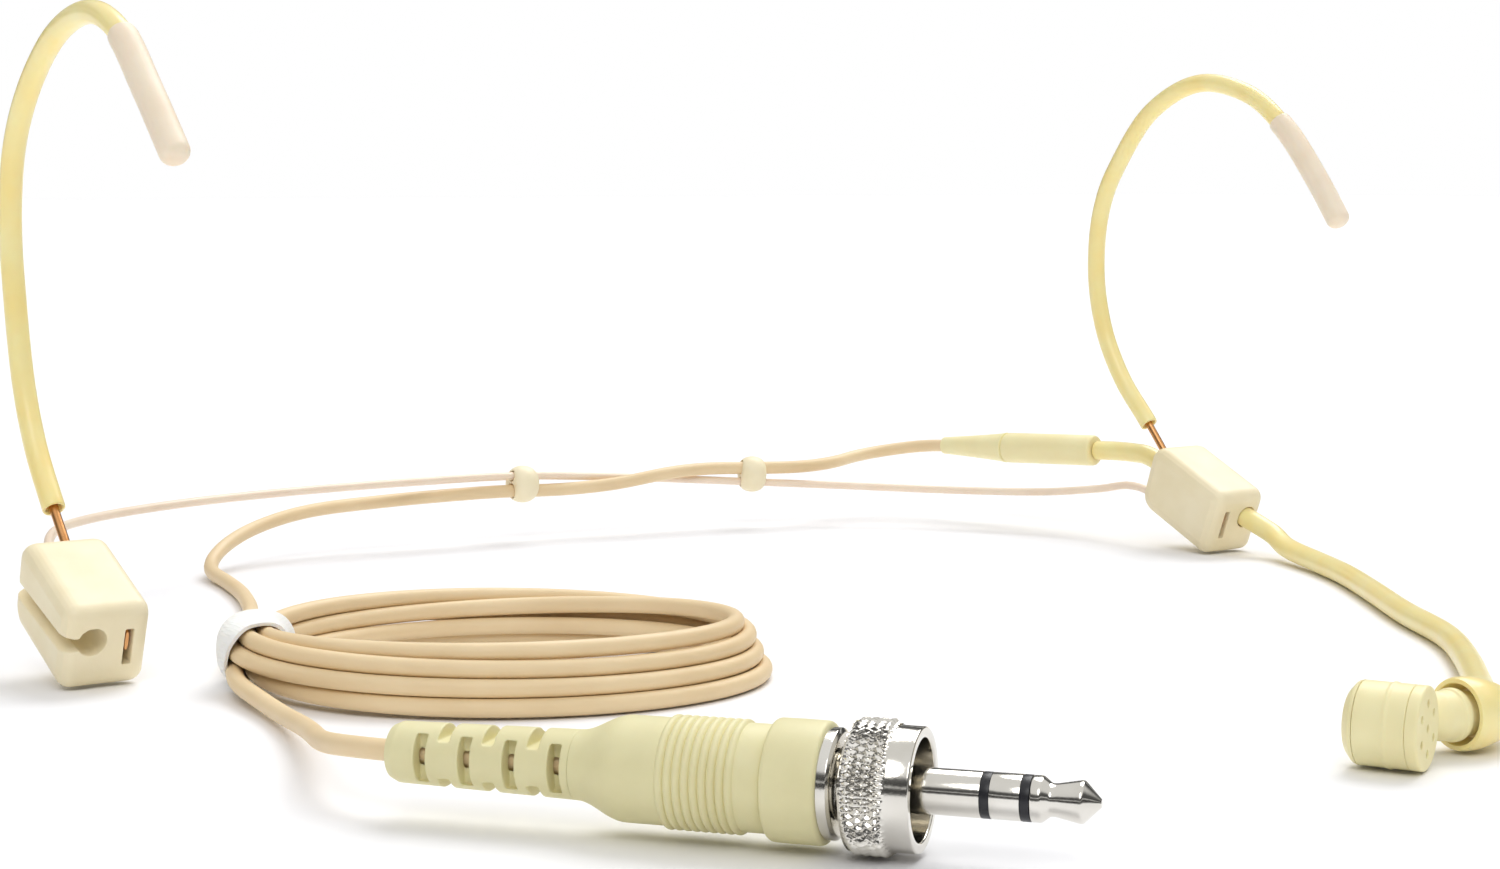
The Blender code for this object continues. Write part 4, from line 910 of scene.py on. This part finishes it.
def add_block(label, side):
    """A clip block with its boom channel, flared slit, clip slot and two wire holes."""
    half = BLOCK_WIDTH / 2
    rings = []
    for end in (-1, 1):
        shares = (1.0, 0.8, 0.55, 0.3, 0.0)
        for share in shares if end < 0 else shares[::-1]:
            inset = BLOCK_EDGE_RADIUS * (1.0 - math.sqrt(1.0 - share * share))
            x = end * (half - BLOCK_EDGE_RADIUS + BLOCK_EDGE_RADIUS * share)
            rings.append([Vector((x, y, z)) for y, z in block_outline(inset)])
    x_axis, y_axis, z_axis = Matrix.Identity(3)
    channel_x = side * CHANNEL_OFFSET
    reach = BLOCK_LENGTH
    channel = rod((channel_x, -reach, CHANNEL_RISE), (channel_x, reach, CHANNEL_RISE), CHANNEL_RADIUS, 64)
    outer = side * (half + 1.0)
    slit = ((channel_x, CHANNEL_RISE - SLIT_HEIGHT / 2), (outer, CHANNEL_RISE - SLIT_MOUTH / 2 - 0.35),
            (outer, CHANNEL_RISE + SLIT_HEIGHT / 2), (channel_x, CHANNEL_RISE + SLIT_HEIGHT / 2))
    slot_x = side * CLIP_OFFSET
    slot = rectangle(CLIP_SLOT[0] / 2, CLIP_SLOT[2] / 2, slot_x)
    place = block_matrix(side)
    into = place.inverted()
    stem = Vector((at_ear(side, HOOK_X), *HOOK_STEM))
    stem_cut = rod(into @ stem, into @ (stem + HOOK_STEM_DIRECTION * reach), HOOK_WIRE_RADIUS + 2 * GAP, 32)
    first, second = (Vector(p) for p in (NECKBAND_ROUTE[:2] if side < 0 else NECKBAND_ROUTE[:-3:-1]))
    along = (second - first).normalized()
    band_cut = rod(into @ first, into @ (first + along * reach), NECKBAND_RADIUS + GAP, 32)
    slit_cut = prism(slit, (x_axis, z_axis, y_axis), (0, 0, 0), reach)
    slot_cut = prism(slot, (x_axis, z_axis, y_axis), (0, -BLOCK_LENGTH / 2, 0), CLIP_SLOT[1])
    cutters = [channel, slit_cut, slot_cut, stem_cut, band_cut]
    mesh = carved(skin(rings), cutters, 0.1, 4)
    mesh.transform(place)
    piece(f"{label}_block", mesh, "root", BLOCK_PLASTIC, "skin_plastic", (f"{label}_clip_block",), 60.0)
    spring = []
    for k in range(13):
        t = k / 12
        y = -BLOCK_LENGTH / 2 + 0.5 + SPRING_LENGTH * t
        ends = 1.0 if 0 < k < 12 else 0.75
        ring = []
        for m in range(24):
            turn = 2 * math.pi * m / 24
            wide = squared(math.cos(turn), 0.6) * SPRING_SECTION[0] * ends
            tall = squared(math.sin(turn), 0.6) * SPRING_SECTION[1] * ends
            ring.append(Vector((slot_x + wide + SPRING_BOW * math.sin(math.pi * t), y, SPRING_RISE + tall)))
        spring.append(ring)
    mesh = skin(spring)
    mesh.transform(place)
    piece(f"{label}_spring", mesh, "root", COPPER, "copper_wire", (f"{label}_clip_spring",))


def add_hook(label, side):
    """An ear hook: springy wire, translucent sleeve with an open end, and a soft tip."""
    stem = Vector((at_ear(side, HOOK_X), *HOOK_STEM))
    route = [stem, stem + HOOK_STEM_DIRECTION * 5]
    route += [Vector((stem.x, y, z)) for y, z in HOOK_ROUTES[side]]
    path = smooth_path(route, 0.9)
    total = distances(path)[-1]
    body = f"{label}_hook"
    tip_start = total - HOOK_TIP_LENGTH
    piece(f"{label}_hook_core", tube(part_of(path, 0.1, total - 3), HOOK_WIRE_RADIUS, 16, 0.1), body, COPPER,
          "copper_wire", (f"{label}_hook_wire",))
    tight = HOOK_WIRE_RADIUS + 0.1

    def bore(s):
        return tight + 0.3 * max(0.0, 1.0 - s / 1.6)

    sleeve = hose(part_of(path, HOOK_SLEEVE_START, tip_start - 0.03), HOOK_SLEEVE_RADIUS, bore)
    piece(f"{label}_hook_tube", sleeve, body, SILICONE, "silicone", (f"{label}_hook_sleeve",), 60.0)
    tip_path = part_of(path, tip_start, total - 0.7)
    axes = path_frames(tip_path)
    sides = 32
    rings = [circle(tip_path[0], axes[0], tight, sides),
             circle(tip_path[0], axes[0], HOOK_TIP_RADIUS - 0.25, sides),
             circle(tip_path[0] + axes[0][0] * 0.08, axes[0], HOOK_TIP_RADIUS - 0.07, sides)]
    rings += [circle(p, f, HOOK_TIP_RADIUS, sides) for p, f in zip(tip_path[1:], axes[1:])]
    for k in range(1, 9):
        angle = math.pi / 2 * k / 8.3
        centre = tip_path[-1] + axes[-1][0] * (1.15 * math.sin(angle))
        rings.append(circle(centre, axes[-1], HOOK_TIP_RADIUS * math.cos(angle) ** 0.8, sides))
    deep = part_of(tip_path, 0.0, HOOK_TIP_LENGTH - 3.0)
    bores = [circle(p, f, tight, sides) for p, f in zip(deep, path_frames(deep))][1:]
    tip = skin(bores[::-1] + rings)
    piece(f"{label}_hook_end", tip, body, TIP_RUBBER, "hook_tip", (f"{label}_hook_tip",), 50.0)


def add_neckband():
    mesh = tube(smooth_path(NECKBAND_ROUTE, 1.2), NECKBAND_RADIUS, 20, 0.1)
    piece("neckband", mesh, "root", NECKBAND_SKIN, "neckband", ("neckband_wire",))


def add_bead(body, node, centre, along, wire_side):
    """A keeper bead with a hole for the neckband and one for the lead."""
    half = BEAD_LENGTH / 2
    profile = [(0.0, -half)]
    for k in range(17):
        angle = math.pi * (k + 0.5) / 17
        profile.append((BEAD_RADIUS * (0.55 + 0.45 * math.sin(angle)), -half * math.cos(angle)))
    profile.append((0.0, half))
    centre = Vector(centre)
    forward = Vector(along).normalized()
    cutters = []
    for offset, radius in ((BEAD_WIRE_OFFSET, BEAD_WIRE_HOLE), (-BEAD_CABLE_OFFSET, BEAD_CABLE_HOLE)):
        middle = centre + UP * (wire_side * offset)
        cutters.append(rod(middle - forward * BEAD_LENGTH, middle + forward * BEAD_LENGTH, radius))
    mesh = carved(turned(profile, centre, along, 64), cutters, 0.08, 3)
    piece(f"{body}_shell", mesh, body, BLOCK_PLASTIC, "skin_plastic", (node,), 60.0)


def channel_point(along):
    """A point on the axis of the right block's channel, along behind its middle."""
    x, y, z = BLOCK_CENTRE
    across = Vector((0.0, -math.sin(BLOCK_PITCH), math.cos(BLOCK_PITCH)))
    axis = Vector((0.0, math.cos(BLOCK_PITCH), math.sin(BLOCK_PITCH)))
    return Vector((x + CHANNEL_OFFSET, y, z)) + across * CHANNEL_RISE + axis * along


def capsule_point(along, neck=0.0):
    return CAPSULE_CENTRE + CAPSULE_AXIS * along + NECK_DIRECTION * neck


def add_boom():
    """The boom's soft tube, left straight by its block, and the open cup that holds the capsule's neck."""
    route = [channel_point(-GAP), channel_point(-BOOM_STRAIGHT / 2), channel_point(-BOOM_STRAIGHT),
             *[Vector(p) for p in BOOM_ROUTE]]
    spacing = 1.2
    path = smooth_path(route, spacing)
    still = math.ceil(BOOM_STRAIGHT / spacing)
    path = path[:still] + relaxed(path[still:], 8)
    total = distances(path)[-1]
    mesh = hose(part_of(path, 0.0, total - 1.0), BOOM_RADIUS, BOOM_BORE)
    piece("boom_tube", mesh, "boom", SILICONE, "silicone", ("boom_sleeve",), 60.0)
    mouth = capsule_point(NECK_SHIFT, NECK_LENGTH - CUP_DEPTH)
    back = part_of(path, total - 7.0, total)[::-1]
    axis = [mouth + NECK_DIRECTION * s for s in np.arange(0.0, CUP_STRAIGHT, 0.4)]
    bend = evenly(axis + [p for p in back if (p - mouth).dot(NECK_DIRECTION) > CUP_BLEND], 0.4)
    bend = relaxed(bend, 6)
    along = distances(bend)
    axes = path_frames(bend)
    sides = 48
    flare_end = along[-1]
    outer = []
    for place, frame_axes, s in zip(bend, axes, along):
        fall = min(1.0, max(0.0, (s - CUP_DEPTH) / (flare_end - CUP_DEPTH))) ** 0.8
        radius = CUP_RADIUS + (BOOM_RADIUS + 0.03 - CUP_RADIUS) * (fall * fall * (3 - 2 * fall))
        outer.append(circle(place, frame_axes, radius - (0.12 if s < 1e-6 else 0.0), sides))
    inner_radius = CUP_RADIUS - CUP_WALL
    floor = CUP_DEPTH + 0.3
    inner = [(inner_radius + 0.1, 0.0), (inner_radius, 0.15), (inner_radius, floor - 0.8),
             (inner_radius * 0.8, floor), (0.3, floor)]
    bores = [circle(mouth + NECK_DIRECTION * s, axes[0], radius, sides) for radius, s in inner]
    piece("boom_cup", skin(bores[::-1] + outer), "boom", SILICONE, "silicone", ("boom_end_cup",), 50.0)


def add_tail():
    """Behind the block: the tube, a barrel and a tapered relief that the lead leaves by."""
    route = [channel_point(GAP), channel_point(BOOM_STRAIGHT / 2), channel_point(BOOM_STRAIGHT),
             *[Vector(p) for p in TAIL_ROUTE]]
    mesh = hose(smooth_path(route, 1.0), BOOM_RADIUS, BOOM_BORE)
    piece("tail_tube", mesh, "boom_tail", SILICONE, "silicone", ("boom_tail_sleeve",), 60.0)
    radius, length = BARREL_RADIUS, BARREL_LENGTH
    profile = eased([(0.0, 0.0), (radius, 0.0), (radius, length), (0.0, length)], 0.5, 5)
    mesh = turned(profile, BARREL_START, TAIL_DIRECTION)
    piece("tail_barrel", mesh, "boom_tail", CAPSULE_PLASTIC, "skin_plastic", ("boom_tail_barrel",), 50.0)
    tip = RELIEF_TIP_RADIUS
    profile = [(0.0, 0.0), (radius - 0.1, 0.0), (radius, 0.1)]
    for k in range(1, 25):
        t = k / 24
        profile.append((radius + (tip - radius) * t ** 0.8, RELIEF_TAPER_LENGTH * t))
    bore = CORD_RADIUS + 0.05
    floor = RELIEF_TAPER_LENGTH - 2.5
    profile += [(bore, RELIEF_TAPER_LENGTH), (bore, floor), (0.0, floor)]
    start = BARREL_START + TAIL_DIRECTION * (length + 0.03)
    mesh = turned(profile, start, TAIL_DIRECTION)
    piece("tail_relief", mesh, "boom_tail", CAPSULE_PLASTIC, "skin_plastic", ("boom_tail_relief",), 50.0)


def add_capsule():
    """The capsule: a barrel with a raised seam and a stepped side neck, and its two end caps."""
    inner = CAPSULE_RADIUS - CAPSULE_WALL
    half = CAPSULE_HALF - CAPSULE_CAP - 0.02
    radius = CAPSULE_RADIUS
    seam_top = radius + 0.09
    profile = [(inner, -half), (radius, -half), (radius, SEAM_PLACE - 0.2), (seam_top, SEAM_PLACE - 0.14),
               (seam_top, SEAM_PLACE + 0.14), (radius, SEAM_PLACE + 0.2), (radius, half), (inner, half)]
    barrel = turned(profile, CAPSULE_CENTRE, CAPSULE_AXIS)
    root = radius * NECK_ROOT
    step = NECK_LENGTH - CUP_DEPTH - NECK_RIM_SETBACK - root
    rim_end = step + NECK_RIM_WIDTH
    inside = NECK_RADIUS * 0.9
    profile = [(0.0, 0.0), (NECK_ROOT_RADIUS + 0.1, 0.0), (NECK_ROOT_RADIUS, 0.35 * step),
               (NECK_RADIUS, 0.75 * step), (NECK_RADIUS, step - 0.1), (NECK_RIM_RADIUS, step),
               (NECK_RIM_RADIUS, rim_end), (inside, rim_end + 0.05), (inside, NECK_LENGTH - root),
               (0.0, NECK_LENGTH - root)]
    neck = turned(eased(profile, 0.25), capsule_point(NECK_SHIFT, root), NECK_DIRECTION)
    mesh = carved(joined(barrel, neck), [], 0.09, 2)
    piece("capsule_shell", mesh, "capsule", CAPSULE_PLASTIC, "skin_plastic", ("capsule_body",), 60.0)
    end = CAPSULE_HALF
    profile = [*eased([(0.0, -end), (radius - 1.0, -end), (radius - 0.1, -end + 0.75),
                       (radius, -end + CAPSULE_CAP)], 0.3, 5), (0.0, -end + CAPSULE_CAP)]
    mesh = turned(profile, CAPSULE_CENTRE, CAPSULE_AXIS)
    piece("capsule_rear", mesh, "capsule", CAPSULE_PLASTIC, "skin_plastic", ("capsule_front_cap",), 50.0)
    profile = [(0.0, end - CAPSULE_CAP),
               *eased([(radius, end - CAPSULE_CAP), (radius, end), (0.0, end)], 0.3, 5)]
    forward, side, up = axes_along(CAPSULE_AXIS)
    middle = capsule_point(end)
    ports = [middle, *circle(middle, (forward, up, -side), PORT_CIRCLE, PORTS)]
    cutters = [rod(port - forward * 2, port + forward, PORT_RADIUS, 32) for port in ports]
    mesh = carved(turned(profile, CAPSULE_CENTRE, CAPSULE_AXIS), cutters, 0.06, 2)
    piece("capsule_face", mesh, "capsule", CAPSULE_PLASTIC, "skin_plastic", ("capsule_port_cap",), 60.0)


def dress_kept_nodes():
    """Finishes for the CAD nodes that stay in view or inside."""
    kept = {"capsule_screen": SCREEN, "capsule_element": NICKEL, "nut_snap_ring": NICKEL,
            "boom_core_wire": COPPER}
    for name, made_of in kept.items():
        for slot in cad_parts[name].material_slots:
            slot.material = made_of


add_camera()
add_studio()
plug_pieces = [add_tie(), add_strain_relief(), *add_grip(), add_flange(), add_nut(), *add_pin(),
               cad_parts["nut_snap_ring"]]
add_cord()
for label, side in (("left", -1), ("right", 1)):
    add_block(label, side)
    add_hook(label, side)
add_neckband()
for bead in BEADS:
    add_bead(*bead)
add_boom()
add_tail()
add_capsule()
dress_kept_nodes()
